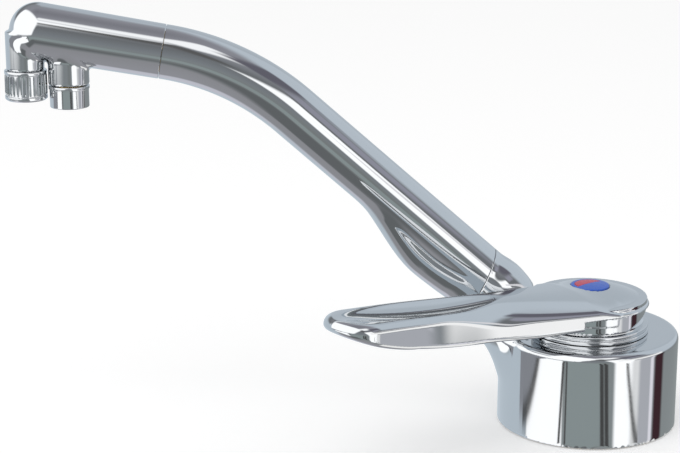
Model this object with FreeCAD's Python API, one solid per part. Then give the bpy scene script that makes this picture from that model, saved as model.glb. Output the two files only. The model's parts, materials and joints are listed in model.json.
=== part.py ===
import FreeCAD, Part
import math
import os

# Single-lever mixer tap, millimetres, +Z up.
# The origin is the centre of the underside, on the worktop. The spout points
# along -X. The lever rests beside the spout, turned from it towards -Y.

V = FreeCAD.Vector
UP = V(0, 0, 1)
ORIGIN = V(0, 0, 0)

# Fits between pieces
RUN = 0.05              # radial clearance of a guided turning or sliding fit
FREE = 0.3              # clearance between moving faces that guide nothing
FILM = 0.03             # gap between the two lapped ceramic faces
SEAM = 0.25             # gap of a visible joint line

# Drum that stands on the worktop
drum_r = 36.0           # outside radius of the drum
drum_top = 38.7         # height of its top face
drum_edge = 2.4         # rounding of its top edge
drum_foot_edge = 0.4    # bevel of its lower edge
drum_gap = 0.5          # space between its wall and the worktop
drum_wall_t = 8.5
drum_skirt_t = 1.5      # wall outside the foot
top_plate = 4.2         # thickness of its top plate

# Fixed column inside the drum, with its foot
foot_t = 2.2
gasket_w = 5.0          # rubber ring let into the foot's underside
gasket_edge = 1.7       # its distance from the foot's rim
gasket_t = 1.0
column_gap = 0.7        # space between the column's shoulder and the drum's plate
neck_wall_t = 2.2       # threaded neck round the cartridge's nut, through the drum's plate
floor_t = 13.0          # thickness of the floor under the cartridge

# Ports in the underside, set square to the lever's middle direction
inlet_r = 5.0           # M10x1 for the two supply tails
inlet_depth = 8.0
inlet_offset = 9.0
inlet_feed_r = 3.0
stud_r = 4.0            # M8 for the fixing stud
stud_depth = 7.5
stud_offset = 12.0
well_r = 4.0            # well under the cartridge's outlet
outlet_drill_r = 2.4

# Swivel of the drum on the column
washer_gap = 0.7
washer_w = 2.3
washer_t = 0.5
bush_t = 1.7            # wall of the two plastic bushes
bush_h = 2.6
upper_bush_h = 6.0
chamber_up = 10.3       # height of the middle of the ring-shaped water chamber over the foot
chamber_h = 4.2
chamber_depth = 3.4
seal_h = 2.2            # height of the two seal grooves
seal_depth = 1.9
lip_t = 0.65            # thickness of the seals' two lips
land = 0.9              # wall between neighbouring grooves
stop_r = 1.25           # stop pin that limits the swivel
stop_inside = 3.8       # distance of its middle inside the drum's side
stop_floor = 0.2        # metal between the gasket's groove and the pin
stop_h = 2.6
swivel_range = 120.0

# Cover ring round the top of the column
slide_t = 1.2
slide_w = 1.5
cover_w = 2.1           # width of the ring beyond the column's neck
cover_band = 2.0
cover_upper_in = 0.45   # how far the upper band stands back
cover_groove = 0.55
cover_step = 0.9        # depth of the groove between the two bands
cover_edge = 0.3
cover_upper_h = 1.9
cover_t = 1.0           # thickness of its flat top over the column's neck
cover_flat_in = 20.2
cover_hole_r = 13.2
cover_rise = 1.6

# Ceramic cartridge
cart_r = 17.5
cart_h = 17.0           # height of the housing's shoulder over the cartridge's floor
cart_bore_gap = 0.15
cart_wall = 2.4
cart_seal_t = 1.3
cart_seal_w = 1.2
cart_base_t = 3.6
fixed_disc_t = 3.5
fixed_disc_r = 14.2
moving_disc_t = 3.4
moving_disc_r = 11.2
carrier_t = 1.6
carrier_r = 11.0
carrier_boss_r = 4.4
carrier_boss_h = 3.9
waterway_r = 2.6        # mixed water, in the middle
feed_way_r = 2.2        # hot and cold in the cartridge's base
port_r = 2.0            # hot and cold in the fixed disc
port_circle = 7.0
pocket_r = 3.8          # hollow under the moving disc, clear of the ports at rest
pocket_h = 2.0
plate_t = 2.5           # top plate of the cartridge housing
plate_raised = 1.5      # height of that plate over the nut's seat
nut_r = 19.5
nut_in = 16.0
nut_below = 2.4         # depth of its top under the column's neck
nut_slot = 3.0
nut_slot_depth = 2.0

# Turning guide, spindle and its pivot
guide_r = 10.6
guide_over = 5.0        # height of its top over the pivot
guide_flange_h = 4.4
slot_half_x = 6.4
slot_half_y = 4.1
ball_in = 2.1           # height of the ball's centre over the carrier's plate
pivot_over = 9.5        # height of the pivot over the ball
pivot_r = 1.5
pivot_half = 10.0
spindle_half = 4.0
spindle_below = 4.0     # depth of the square shank under the pivot
rod_r = 1.9
ball_r = 2.6
socket_floor = 0.6      # depth of the ball's socket into the carrier's plate
lift_range = 20.0
turn_range = 90.0

# Lever
lever_turned = 34.0     # angle between the lever at rest and the spout, in plan
skirt_gap = 0.6         # between the cover ring and the skirt
skirt_h = 5.8
ring_room = 1.0         # how far the arm's foot stays outside the cover ring's rim
hub_side_h = 1.4
hub_round_h = 3.1
hub_crown_h = 2.7
hub_plate_t = 4.6       # thickness of the hub over its hollow
skirt_back = 1.1        # how far the skirt stands back from the hub's side
skirt_t = 2.1
boss_r = 8.0
boss_up = 2.2           # height of the boss's foot over the skirt's
boss_floor = 1.2        # metal over the square hole in the boss
hub_edge = 0.4          # step from the skirt out to the hub's side
hub_round = 2.8         # width of the rounding between the hub's side and its crown
arm_length = 130.0
arm_rise = 0.075        # slope of the arm's top face
arm_below = 1.3         # depth of that face under the hub's top, carried back to the axis
arm_top_edge = 1.6      # rounding of the arm's top edges
arm_low_edge = 6.1      # rounding of its lower edges
arm_root_t = 14.6       # thickness where it leaves the hub
paddle_t = 11.4
arm_lip_t = 4.2         # thickness at the tip
arm_even = 14.0         # length beyond the hub over which its width is even
paddle_half = 13.8
paddle_start = 98.0     # distance at which the paddle is fully wide
arm_half = 9.2
dish_start = 50.0
dish_end = 122.0
dish_half = 10.2
dish_depth = 3.2
screw_r = 2.5
screw_head_r = 4.2
screw_head_h = 2.2
screw_over = 4.0        # height of its end over the pivot
hex_r = 1.9             # hexagon sockets: to the corner, and depth
hex_depth = 1.4
badge_r = 7.8
badge_t = 2.4
badge_proud = 0.35      # rise of its domed middle over the hub
badge_rim = 0.1         # depth of its rim under the hub's top
badge_inlay_r = 6.2
badge_inlay_t = 0.9
badge_split = 0.2       # straight edge of the red inlay, beside the middle

# Spout: neck on the drum, arm, head
tube_r = 10.6
neck_out = 1.0          # distance of the neck's axis outside the drum's side
neck_low = 7.3          # height of the centre of the neck's rounded lower end over the drum
neck_rise = 18.2        # height over the drum at which the neck turns into the arm's line
arm_angle = 41.5        # rise of the arm
seam_along = 10.0       # distance of the lower seam from the neck's corner
seam_lean = 17.0        # turn of the seam's plane from square, towards upright
arm_run = 127.4         # length of the arm's line from the seam to the bend's corner
head_angle = 10.0       # rise of the head
head_run = 29.6         # length from the bend's corner to the upper seam
bend_r = 100.0
arm_bore_r = 8.6
neck_bore_r = 6.4
neck_relief = 0.4       # room between the neck and the hub as it swings back
keel_r = 10.0
keel_angle = 52.0       # rise of the keel under the neck
keel_below = 7.4        # keel's centre under the tube's, at the seam
keel_belly_along = 20.0 # distance from the seam at which the keel is deepest
keel_belly_r = 8.3
keel_belly_below = 9.9
keel_fade = 62.0        # length over which the keel dies into the arm
keel_end_r = 9.0
keel_buried = 0.9       # depth under the tube's skin at which the keel ends
keel_rooted = 8.0       # depth of the keel's foot under the drum's top
neck_rooted = 2.0       # depth to which the neck runs into the drum's wall
neck_passage_r = 3.0
neck_passage_in = 4.3   # distance of the upright passage inside the drum's side
neck_passage_below = 8.7
nipple_r = 8.0
nipple_in = 6.2
nipple_half = 12.0
ring_h = 2.2
ring_depth = 1.3
ring_places = (-4.6, 5.0)
grub_r = 2.0
grub_along = 8.8
grub_length = 6.0
grub_key_r = 1.0
grub_key_depth = 1.6

# Head with its two outlets
head_r = 11.0
head_axis_run = 48.0    # length of the head's tube to the centre of its domed end
head_bore_r = 7.4
head_end_wall = 2.0     # extra metal beyond the bore at the domed end
head_crown = 3.0        # room between the head's axis and the top of the spray outlet's boss
jet_beyond = 5.4        # distance of the aerated outlet beyond the centre of the domed end
jet_r = 7.3
jet_nose_r = 6.9
jet_down = 14.8         # depth of its shoulder under that centre
jet_nose_h = 6.2
jet_bore_r = 4.6
collar_r = 8.2
collar_h = 11.6
collar_lip_in = 5.7
collar_lip_t = 0.9
flute_count = 30
flute_r = 0.42
flute_margin = 1.3
aerator_washer_t = 1.2
insert_wall = 0.6       # thickness of the insert's rim inside the collar's lip
insert_floor = 1.0
mesh_hole_r = 0.7
spray_before = 11.1     # distance of the spray outlet before the centre of the domed end
spray_r = 7.9
spray_down = 20.7
stem_r = 5.5
stem_in = 3.6
stem_flange_r = 6.5
stem_flange_h = 2.2
stem_up = 8.3           # length of the stem inside the head
spray_ring_h = 1.2
spray_ring_depth = 0.8
sleeve_r = 7.6
sleeve_lip_r = 7.9
sleeve_lip_h = 1.4
sleeve_catch = 0.9
spray_room = 1.3        # water room between the stem and the spray plate
plate_spray_t = 1.6
plate_hole_r = 0.55
spray_ring_count = 2    # rings of holes round the middle one
spray_pitch = 2.05
pull_range = 2.4
pull_play = 0.2         # space left above the flange when the sleeve is pulled down


# Simple solids
def rod(radius, z0, z1, x=0.0, y=0.0):
    return Part.makeCylinder(radius, z1 - z0, V(x, y, z0), UP)


def ring(outer, inner, z0, z1, x=0.0, y=0.0):
    return rod(outer, z0, z1, x, y).cut(rod(inner, z0 - 1, z1 + 1, x, y))


def block(x0, x1, y0, y1, z0, z1):
    return Part.makeBox(x1 - x0, y1 - y0, z1 - z0, V(x0, y0, z0))


def bar(radius, start, end):
    return Part.makeCylinder(radius, (end - start).Length, start, end - start)


def ball(radius, centre):
    return Part.makeSphere(radius, centre)


def fused(first, *others):
    return first.multiFuse(list(others)).removeSplitter()


def cut_all(solid, *tools):
    return solid.cut(Part.makeCompound(list(tools)))


def turned(points):
    """Solid of revolution from (radius, height) corners; a pair of them ends an arc."""
    edges = []
    last = None
    for point in points:
        if isinstance(point[0], tuple):
            middle = V(point[0][0], 0, point[0][1])
            here = V(point[1][0], 0, point[1][1])
            edges.append(Part.Arc(last, middle, here).toShape())
        else:
            here = V(point[0], 0, point[1])
            if last is not None:
                edges.append(Part.makeLine(last, here))
        last = here
    first = V(points[0][0], 0, points[0][1])
    if (last - first).Length > 1e-6:
        edges.append(Part.makeLine(last, first))
    face = Part.Face(Part.Wire(edges))
    return face.revolve(ORIGIN, UP, 360)


def about_axis(shape, angle):
    shape = shape.copy()
    shape.rotate(ORIGIN, UP, angle)
    return shape


# Radii that follow from the drum and from the cartridge
column_r = drum_r - drum_wall_t - FREE
foot_r = drum_r - drum_skirt_t - FREE
gasket_r = foot_r - gasket_edge
gasket_in = gasket_r - gasket_w
washer_in = column_r + washer_gap
washer_out = washer_in + washer_w
stop_circle = drum_r - stop_inside
neck_r = nut_r + neck_wall_t
slide_out = neck_r + slide_w
cover_r = neck_r + cover_w
cover_upper_r = cover_r - cover_upper_in
hub_r = cover_r
skirt_r = hub_r - skirt_back
skirt_in = skirt_r - skirt_t


def along_lever(shape):
    """Turns a solid made with the lever along -X to where the lever rests."""
    return about_axis(shape, lever_turned)


def valve_place(radius, angle):
    """Point in plan, its angle counted from the lever's middle direction."""
    turn = math.radians(180 + lever_turned + turn_range / 2 + angle)
    return radius * math.cos(turn), radius * math.sin(turn)


# Points and directions in the spout's plane
def spout_point(reach, z):
    return V(-reach, 0, z)


def spout_way(angle):
    turn = math.radians(angle)
    return V(-math.cos(turn), 0, math.sin(turn))


def down_from(angle):
    """Square to a direction of the spout, on its underside."""
    turn = math.radians(angle)
    return V(-math.sin(turn), 0, -math.cos(turn))


neck_x = drum_r + neck_out
CORNER = spout_point(neck_x, drum_top + neck_rise)
NECK_END = spout_point(neck_x, drum_top + neck_low)
ARM_WAY = spout_way(arm_angle)
HEAD_WAY = spout_way(head_angle)
LOW_SEAM = CORNER + ARM_WAY * seam_along
SEAM_NORMAL = spout_way(arm_angle - seam_lean)
BEND_CORNER = LOW_SEAM + ARM_WAY * arm_run
HIGH_SEAM = BEND_CORNER + HEAD_WAY * head_run
HEAD_END = HIGH_SEAM + HEAD_WAY * head_axis_run
head_reach = -HEAD_END.x
jet_x = head_reach + jet_beyond
spray_x = head_reach - spray_before
KEEL_WAY = spout_way(keel_angle)
KEEL_SEAM = LOW_SEAM + down_from(arm_angle) * keel_below


def beyond(point, normal, size=400.0):
    """Everything on the far side of a plane, as a large block."""
    box = Part.makeBox(size, size, size, V(-size / 2, -size / 2, 0))
    turn = FreeCAD.Rotation(UP, normal)
    box.Placement = FreeCAD.Placement(point, turn)
    return box


# Column and what is fixed to the worktop
washer_z = foot_t
chamber_z = foot_t + chamber_up
cover_low = drum_top + RUN + slide_t
cover_top = cover_low + cover_band + cover_groove + cover_upper_h
neck_top = cover_top - cover_t
drum_foot = washer_z + washer_t
shoulder_z = drum_top - top_plate - column_gap
drum_bore = column_r + FREE
lower_bush_z = drum_foot + RUN
lower_seal_z = lower_bush_z + bush_h + land
chamber_low = chamber_z - chamber_h / 2
chamber_high = chamber_z + chamber_h / 2
upper_seal_z = chamber_high + land
upper_bush_z = shoulder_z - 2 * land - upper_bush_h
cart_floor = floor_t
nut_z = cart_floor + cart_h
nut_top = neck_top - nut_below
cart_bore_r = cart_r + cart_bore_gap
bush_in = drum_bore - RUN - bush_t
stop_low = gasket_t + stop_floor
stop_high = washer_z + stop_h


def around(count, radius, start=0.0):
    for index in range(count):
        turn = math.radians(start) + 2 * math.pi * index / count
        yield radius * math.cos(turn), radius * math.sin(turn)


def base_gasket():
    return ring(gasket_r, gasket_in, 0, gasket_t)


def base_body():
    foot = rod(foot_r, 0, washer_z)
    column = rod(column_r, washer_z, shoulder_z)
    neck = rod(neck_r, shoulder_z, neck_top)
    body = fused(foot, column, neck)
    drill_z = chamber_z - outlet_drill_r / 2
    tools = [
        rod(cart_bore_r, cart_floor, nut_z),
        rod(nut_r, nut_z, neck_top + 1),
        ring(column_r + 1, column_r - chamber_depth, chamber_low, chamber_high),
        base_gasket(),
        rod(stud_r, -1, stud_depth, *valve_place(stud_offset, 180)),
        rod(well_r, chamber_z - outlet_drill_r, cart_floor + 1),
        bar(outlet_drill_r, V(0, 0, drill_z), V(*valve_place(column_r, 0), drill_z)),
        rod(stop_r, stop_low, washer_z + 1, *stop_place()),
    ]
    for z, height, inner in groove_list():
        tools.append(ring(column_r + 1, inner, z, z + height))
    for x, y in inlet_places():
        tools.append(rod(inlet_r, -1, inlet_depth, x, y))
        tools.append(rod(inlet_feed_r, 0, cart_floor + 1, x, y))
    return cut_all(body, *tools)


def groove_list():
    return [
        (lower_bush_z, bush_h, bush_in),
        (lower_seal_z, seal_h, column_r - seal_depth),
        (upper_seal_z, seal_h, column_r - seal_depth),
        (upper_bush_z, upper_bush_h, bush_in),
    ]


def inlet_places():
    """Hot, then cold: left and right for someone at the lever."""
    return [valve_place(inlet_offset, -90), valve_place(inlet_offset, 90)]


def stop_place():
    """The pin stands at the end of its slot at rest, opposite the neck."""
    return stop_circle, 0.0


def stop_pin():
    x, y = stop_place()
    return rod(stop_r, stop_low, stop_high, x, y)


def lower_washer():
    return ring(washer_out, washer_in, washer_z, drum_foot)


def swivel_bush(z, height):
    return ring(drum_bore - RUN, bush_in, z, z + height)


def swivel_seal(z):
    """Rubber ring with a hollow back, as a lip seal has."""
    outer = drum_bore - RUN
    inner = column_r - seal_depth
    body = ring(outer, inner, z, z + seal_h)
    notch = ring(outer - lip_t, inner + lip_t, z + seal_h * 0.5, z + seal_h)
    return body.cut(notch)


def upper_slide_ring():
    return ring(slide_out, neck_r, drum_top + RUN, cover_low)


def cover_ring():
    low = cover_low
    band = low + cover_band
    upper = band + cover_groove
    step = cover_r - cover_step
    edge = cover_edge
    hole_z = cover_top + cover_rise
    return turned([
        (neck_r, low), (cover_r - edge, low), (cover_r, low + edge), (cover_r, band - edge),
        (cover_r - edge, band), (step, band), (step, upper), (cover_upper_r, upper),
        (cover_upper_r, cover_top - edge), (cover_upper_r - edge, cover_top),
        (cover_flat_in, cover_top), (cover_hole_r, hole_z),
        (cover_hole_r, neck_top + cover_rise), (cover_flat_in, neck_top), (neck_r, neck_top),
    ])


# Cartridge
base_low = cart_floor + cart_seal_t
fixed_low = base_low + cart_base_t
moving_low = fixed_low + fixed_disc_t + FILM
carrier_low = moving_low + moving_disc_t
boss_low = carrier_low + carrier_t
plate_low = nut_z + plate_raised
plate_high = plate_low + plate_t
guide_low = plate_low - RUN - guide_flange_h
cart_in = cart_r - cart_wall
ball_z = boss_low + ball_in
pivot_z = ball_z + pivot_over
guide_top = pivot_z + guide_over
spindle_foot = pivot_z - spindle_below
screw_end = pivot_z + screw_over

# Heights of the lever, from the cover ring up
skirt_foot = cover_top + skirt_gap
hub_lip = skirt_foot + skirt_h
hub_side = hub_lip + hub_side_h
hub_shoulder = hub_side + hub_round_h
hub_top = hub_shoulder + hub_crown_h
ceiling = hub_top - hub_plate_t
boss_foot = skirt_foot + boss_up
spindle_top = ceiling - boss_floor
arm_top0 = hub_top - arm_below
badge_low = hub_top - badge_t


def port_places():
    """Hot, then cold: the lever's two end directions, where the moving disc slides to."""
    half = turn_range / 2
    return [valve_place(port_circle, -half), valve_place(port_circle, half)]


def cartridge_seals():
    rings = []
    for x, y in inlet_places():
        rings.append(ring(inlet_feed_r + cart_seal_w, inlet_feed_r, cart_floor, base_low, x, y))
    half = cart_seal_w / 2
    rings.append(ring(well_r + half, well_r - half, cart_floor, base_low))
    return Part.makeCompound(rings)


def cartridge_base():
    body = rod(cart_in, base_low, fixed_low)
    tools = [rod(waterway_r, base_low - 1, fixed_low + 1)]
    for port, inlet in zip(port_places(), inlet_places()):
        low = V(*inlet, base_low - feed_way_r / 2)
        high = V(*port, fixed_low + feed_way_r / 2)
        tools.append(bar(feed_way_r, low, high))
    return cut_all(body, *tools)


def fixed_disc():
    body = rod(fixed_disc_r, fixed_low, fixed_low + fixed_disc_t)
    tools = [rod(port_r, fixed_low - 1, moving_low + 1, x, y) for x, y in port_places()]
    return cut_all(body, rod(waterway_r, fixed_low - 1, moving_low + 1), *tools)


def moving_disc():
    """Its pocket reaches a port when the disc slides, and joins it to the middle."""
    body = rod(moving_disc_r, moving_low, carrier_low)
    return body.cut(rod(pocket_r, moving_low - 1, moving_low + pocket_h))


def disc_carrier():
    plate = rod(carrier_r, carrier_low, boss_low)
    boss = rod(carrier_boss_r, boss_low, boss_low + carrier_boss_h)
    body = fused(plate, boss)
    return body.cut(rod(ball_r + RUN, boss_low - socket_floor, boss_low + carrier_boss_h + 1))


def cartridge_housing():
    shell = ring(cart_r, cart_in, base_low, nut_z)
    crown = ring(nut_in - cart_bore_gap, cart_in, nut_z, plate_high)
    plate = ring(nut_in - cart_bore_gap, guide_r + RUN, plate_low, plate_high)
    return fused(shell, crown, plate)


def cartridge_nut():
    body = ring(nut_r, nut_in, nut_z, nut_top)
    reach = nut_r + 1
    half = nut_slot / 2
    slots = [
        block(-reach, reach, -half, half, nut_top - nut_slot_depth, nut_top + 1),
        block(-half, half, -reach, reach, nut_top - nut_slot_depth, nut_top + 1),
    ]
    return cut_all(body, *slots)


def spindle_guide():
    flange = rod(cart_in - RUN, guide_low, plate_low - RUN)
    neck = rod(guide_r, plate_low - RUN, guide_top)
    body = fused(flange, neck)
    boss_room = carrier_boss_r + FREE
    slide = (pivot_z - ball_z) * math.radians(lift_range) + boss_room
    tools = [
        block(-slot_half_x, slot_half_x, -slot_half_y, slot_half_y, guide_low - 1, guide_top + 1),
        block(-slide, boss_room, -boss_room, boss_room, guide_low - 1,
              boss_low + carrier_boss_h + FREE),
        bar(pivot_r, V(0, -guide_r - 1, pivot_z), V(0, guide_r + 1, pivot_z)),
    ]
    return along_lever(cut_all(body, *tools))


def pivot_pin():
    return along_lever(bar(pivot_r, V(0, -pivot_half, pivot_z), V(0, pivot_half, pivot_z)))


def spindle():
    side = spindle_half
    shank = block(-side, side, -side, side, spindle_foot, spindle_top)
    tail = rod(rod_r, ball_z, spindle_foot)
    body = fused(shank, tail, ball(ball_r, V(0, 0, ball_z)))
    tools = [
        bar(pivot_r + RUN, V(0, -side - 1, pivot_z), V(0, side + 1, pivot_z)),
        rod(screw_r, screw_end, spindle_top + 1),
    ]
    return along_lever(cut_all(body, *tools))


# Lever
def arm_top(s):
    return arm_top0 + arm_rise * s


def arm_width(s):
    """Half the arm's width: even near the hub, then widening into the paddle."""
    narrow_end = hub_r + arm_even
    if s <= narrow_end:
        return arm_half
    share = min((s - narrow_end) / (paddle_start - narrow_end), 1.0)
    ease = share * share * (3 - 2 * share)
    width = arm_half + (paddle_half - arm_half) * ease
    past = s - (arm_length - paddle_half)
    if past > 0:
        width = width * math.sqrt(max(1 - (past / paddle_half) ** 2, 0.0))
    return width


def arm_thick(s):
    """Thickness of the arm: deep at the hub, thin at the paddle's lip."""
    if s < paddle_start:
        share = max(s - hub_r, 0) / (paddle_start - hub_r)
        return arm_root_t + (paddle_t - arm_root_t) * share
    share = (s - paddle_start) / (arm_length - paddle_start)
    return paddle_t + (arm_lip_t - paddle_t) * share ** 1.5


def arm_section(s):
    """Rounded oblong across the arm, its top edges tighter than its lower ones."""
    half = arm_width(s)
    top = arm_top(s)
    low = top - arm_thick(s)
    upper = min(arm_top_edge, half * 0.5, (top - low) * 0.35)
    under = min(arm_low_edge, half * 0.8, (top - low) * 0.55)

    def at(y, z):
        return V(-s, y, z)

    def corner(y, z, sy, sz, r):
        k = r * (1 - math.sqrt(0.5))
        flat = at(y, z - sz * r)
        middle = at(y - sy * k, z - sz * k)
        side = at(y - sy * r, z)
        return flat, middle, side

    a = corner(half, top, 1, 1, upper)
    b = corner(-half, top, -1, 1, upper)
    c = corner(-half, low, -1, -1, under)
    d = corner(half, low, 1, -1, under)
    edges = [
        Part.Arc(a[0], a[1], a[2]).toShape(),
        Part.makeLine(a[2], b[2]),
        Part.Arc(b[2], b[1], b[0]).toShape(),
        Part.makeLine(b[0], c[0]),
        Part.Arc(c[0], c[1], c[2]).toShape(),
        Part.makeLine(c[2], d[2]),
        Part.Arc(d[2], d[1], d[0]).toShape(),
        Part.makeLine(d[0], a[0]),
    ]
    return Part.Wire(edges)


def lever_arm():
    even_end = hub_r + arm_even
    stations = [hub_r * 0.35, hub_r + 2, even_end]
    stations += [even_end + (paddle_start - even_end) * share for share in (0.3, 0.66, 1.0)]
    tip = arm_length - paddle_half
    stations += [tip + paddle_half * share for share in (0.15, 0.45, 0.7, 0.86, 0.95, 0.985)]
    return Part.makeLoft([arm_section(s) for s in stations], True, False)


def dish():
    """Long pointed scoop in the paddle's top, a slice of a barrel laid along it."""
    rise = math.atan(arm_rise)
    half_length = (dish_end - dish_start) / 2
    middle_s = (dish_end + dish_start) / 2
    barrel = (dish_half ** 2 + dish_depth ** 2) / (2 * dish_depth)
    end_r = barrel - dish_depth
    axis_z = end_r
    edges = [
        Part.Arc(V(-half_length, 0, -end_r), V(0, 0, -barrel), V(half_length, 0, -end_r)).toShape(),
        Part.makeLine(V(half_length, 0, -end_r), V(half_length, 0, 0)),
        Part.makeLine(V(half_length, 0, 0), V(-half_length, 0, 0)),
        Part.makeLine(V(-half_length, 0, 0), V(-half_length, 0, -end_r)),
    ]
    scoop = Part.Face(Part.Wire(edges)).revolve(ORIGIN, V(1, 0, 0), 360)
    scoop.rotate(ORIGIN, V(0, 1, 0), math.degrees(rise))
    scoop.translate(V(-middle_s, 0, arm_top(middle_s) + axis_z))
    return scoop


def lever_hub():
    lip_low = hub_lip - hub_edge
    round_up = hub_shoulder - hub_side
    round_in = hub_round
    crown_r = hub_r * 0.5
    crown_sag = 0.24 * (hub_top - hub_shoulder)
    return turned([
        (0, skirt_foot), (skirt_r, skirt_foot), (skirt_r, lip_low), (hub_r - hub_edge, lip_low),
        (hub_r, hub_lip), (hub_r, hub_side),
        ((hub_r - 0.25 * round_in, hub_side + 0.65 * round_up), (hub_r - round_in, hub_shoulder)),
        ((crown_r, hub_top - crown_sag), (0, hub_top)),
    ])


def lever():
    hollow = rod(skirt_in, skirt_foot - arm_root_t, ceiling)
    hollow = hollow.cut(rod(boss_r, boss_foot, ceiling + 1))
    body = fused(lever_hub(), lever_arm())
    side = spindle_half
    tools = [
        hollow,
        lift_room(),
        rod(cover_r + ring_room, skirt_foot - arm_root_t, skirt_foot),
        dish(),
        block(-side, side, -side, side, boss_foot - 1, spindle_top),
        rod(screw_r, spindle_top - 1, hub_top),
        rod(screw_head_r, badge_low - screw_head_h, hub_top),
        rod(badge_r, badge_low, hub_top + 1),
    ]
    return along_lever(cut_all(body, *tools))


def lift_room():
    """Slanted cut under the back half of the skirt, which swings down as the arm lifts."""
    wide = hub_r * 3
    under = block(-wide, wide, -wide, wide, skirt_foot - wide, skirt_foot)
    under.rotate(V(0, 0, pivot_z), V(0, 1, 0), -lift_range)
    front = block(-arm_length, 0, -wide, wide, skirt_foot - 2 * wide, skirt_foot + 2 * wide)
    return under.cut(front)


def lever_screw():
    head = rod(screw_head_r, badge_low - screw_head_h, badge_low)
    body = fused(head, rod(screw_r, screw_end, badge_low - screw_head_h))
    corners = [V(x, y, badge_low - hex_depth) for x, y in around(6, hex_r)]
    socket = Part.makePolygon(corners + corners[:1])
    key = Part.Face(socket).extrude(UP * (hex_depth + 1))
    return along_lever(body.cut(key))


def badge_disc():
    crown = hub_top + badge_proud
    edge = hub_top - badge_rim
    sag = 0.27 * (crown - edge)
    return turned([
        (0, badge_low), (badge_r, badge_low), (badge_r, edge),
        ((badge_r * 0.55, crown - sag), (0, crown)),
    ])


def badge_inlay_room():
    half = rod(badge_inlay_r, hub_top - badge_inlay_t, hub_top + 2)
    return half.cut(block(-badge_r, badge_r, -badge_r, badge_split, hub_top - 5, hub_top + 5))


def badge_blue():
    return along_lever(badge_disc().cut(badge_inlay_room()))


def badge_red():
    return along_lever(badge_disc().common(badge_inlay_room()))


# Spout
def keel_foot():
    """Where the keel's centre line ends, inside the drum's wall."""
    back = (KEEL_SEAM.z - drum_top + keel_rooted) / math.sin(math.radians(keel_angle))
    return KEEL_SEAM - KEEL_WAY * back


def drum_wall():
    skirt_in_r = foot_r + FREE
    rounding = drum_edge * (1 - math.sqrt(0.5))
    return turned([
        (drum_bore, drum_foot), (skirt_in_r, drum_foot), (skirt_in_r, drum_gap),
        (drum_r - drum_foot_edge, drum_gap), (drum_r, drum_gap + drum_foot_edge),
        (drum_r, drum_top - drum_edge),
        ((drum_r - rounding, drum_top - rounding), (drum_r - drum_edge, drum_top)),
        (neck_r + FREE, drum_top), (neck_r + FREE, drum_top - top_plate),
        (drum_bore, drum_top - top_plate),
    ])


def hub_swing():
    """The room that the hub's shoulder needs when the lever lifts, on any side."""
    reach = math.hypot(hub_r, hub_shoulder - pivot_z)
    return ball(reach + neck_relief, V(0, 0, pivot_z))


def neck_outside():
    body = fused(
        ball(tube_r, NECK_END), bar(tube_r, NECK_END, CORNER), ball(tube_r, CORNER),
        bar(tube_r, CORNER, LOW_SEAM + ARM_WAY * 2 * tube_r),
        bar(keel_r, keel_foot(), KEEL_SEAM + KEEL_WAY * 2 * tube_r), ball(keel_r, keel_foot()),
    )
    body = body.cut(beyond(LOW_SEAM, SEAM_NORMAL))
    body = body.cut(rod(drum_r - neck_rooted, 0, drum_top - drum_edge / 4))
    return body.cut(hub_swing())


def neck_waterway():
    """From the ring-shaped chamber up inside the wall and into the neck."""
    past = LOW_SEAM + ARM_WAY * 2 * tube_r
    start = spout_point(column_r - 1, chamber_z)
    turn = spout_point(drum_r - neck_passage_in, chamber_z)
    way = spout_point(drum_r - neck_passage_in, drum_top - neck_passage_below)
    return [
        bar(neck_passage_r, start, turn), ball(neck_passage_r, turn),
        bar(neck_passage_r, turn, way), ball(neck_passage_r, way),
        bar(neck_passage_r, way, NECK_END), ball(neck_bore_r, NECK_END),
        bar(neck_bore_r, NECK_END, CORNER), ball(neck_bore_r, CORNER),
        bar(neck_bore_r, CORNER, past),
        bar(nipple_r, LOW_SEAM - ARM_WAY * nipple_half, past),
    ]


def spout_body():
    body = fused(drum_wall(), neck_outside())
    return cut_all(body, *neck_waterway(), grub_hole(), stop_slot())


def stop_slot():
    """Curved slot under the drum in which the stop pin runs."""
    inner = stop_circle - stop_r - FREE
    outer = stop_circle + stop_r + FREE
    low = drum_foot - 1
    high = stop_high + FREE
    room = math.degrees((stop_r + RUN) / stop_circle)
    corners = [V(inner, 0, low), V(outer, 0, low), V(outer, 0, high), V(inner, 0, high)]
    section = Part.Face(Part.makePolygon(corners + corners[:1]))
    slot = section.revolve(ORIGIN, UP, swivel_range + 2 * room)
    slot.rotate(ORIGIN, UP, -room)
    return slot


def grub_start():
    return LOW_SEAM - ARM_WAY * grub_along + down_from(arm_angle) * nipple_r


def grub_hole():
    start = grub_start()
    return bar(grub_r, start - down_from(arm_angle), start + down_from(arm_angle) * 4 * keel_r)


def arm_grub_screw():
    start = grub_start()
    body = bar(grub_r, start, start + down_from(arm_angle) * grub_length)
    socket = start + down_from(arm_angle) * (grub_length - grub_key_depth)
    return body.cut(bar(grub_key_r, socket, start + down_from(arm_angle) * (grub_length + 1)))


def nipple(centre, way, inner):
    """Short tube that joins two lengths, with two grooves for rubber rings."""
    body = bar(nipple_r, centre - way * nipple_half, centre + way * nipple_half)
    tools = [bar(inner, centre - way * (nipple_half + 1), centre + way * (nipple_half + 1))]
    tools += [groove_ring(centre, way, place) for place in ring_places]
    return cut_all(body, *tools)


def groove_ring(centre, way, place):
    low = centre + way * (place - ring_h / 2)
    high = centre + way * (place + ring_h / 2)
    return bar(nipple_r, low, high).cut(bar(nipple_r - ring_depth, low - way, high + way))


def nipple_rings(centre, way):
    return Part.makeCompound([groove_ring(centre, way, place) for place in ring_places])


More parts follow.
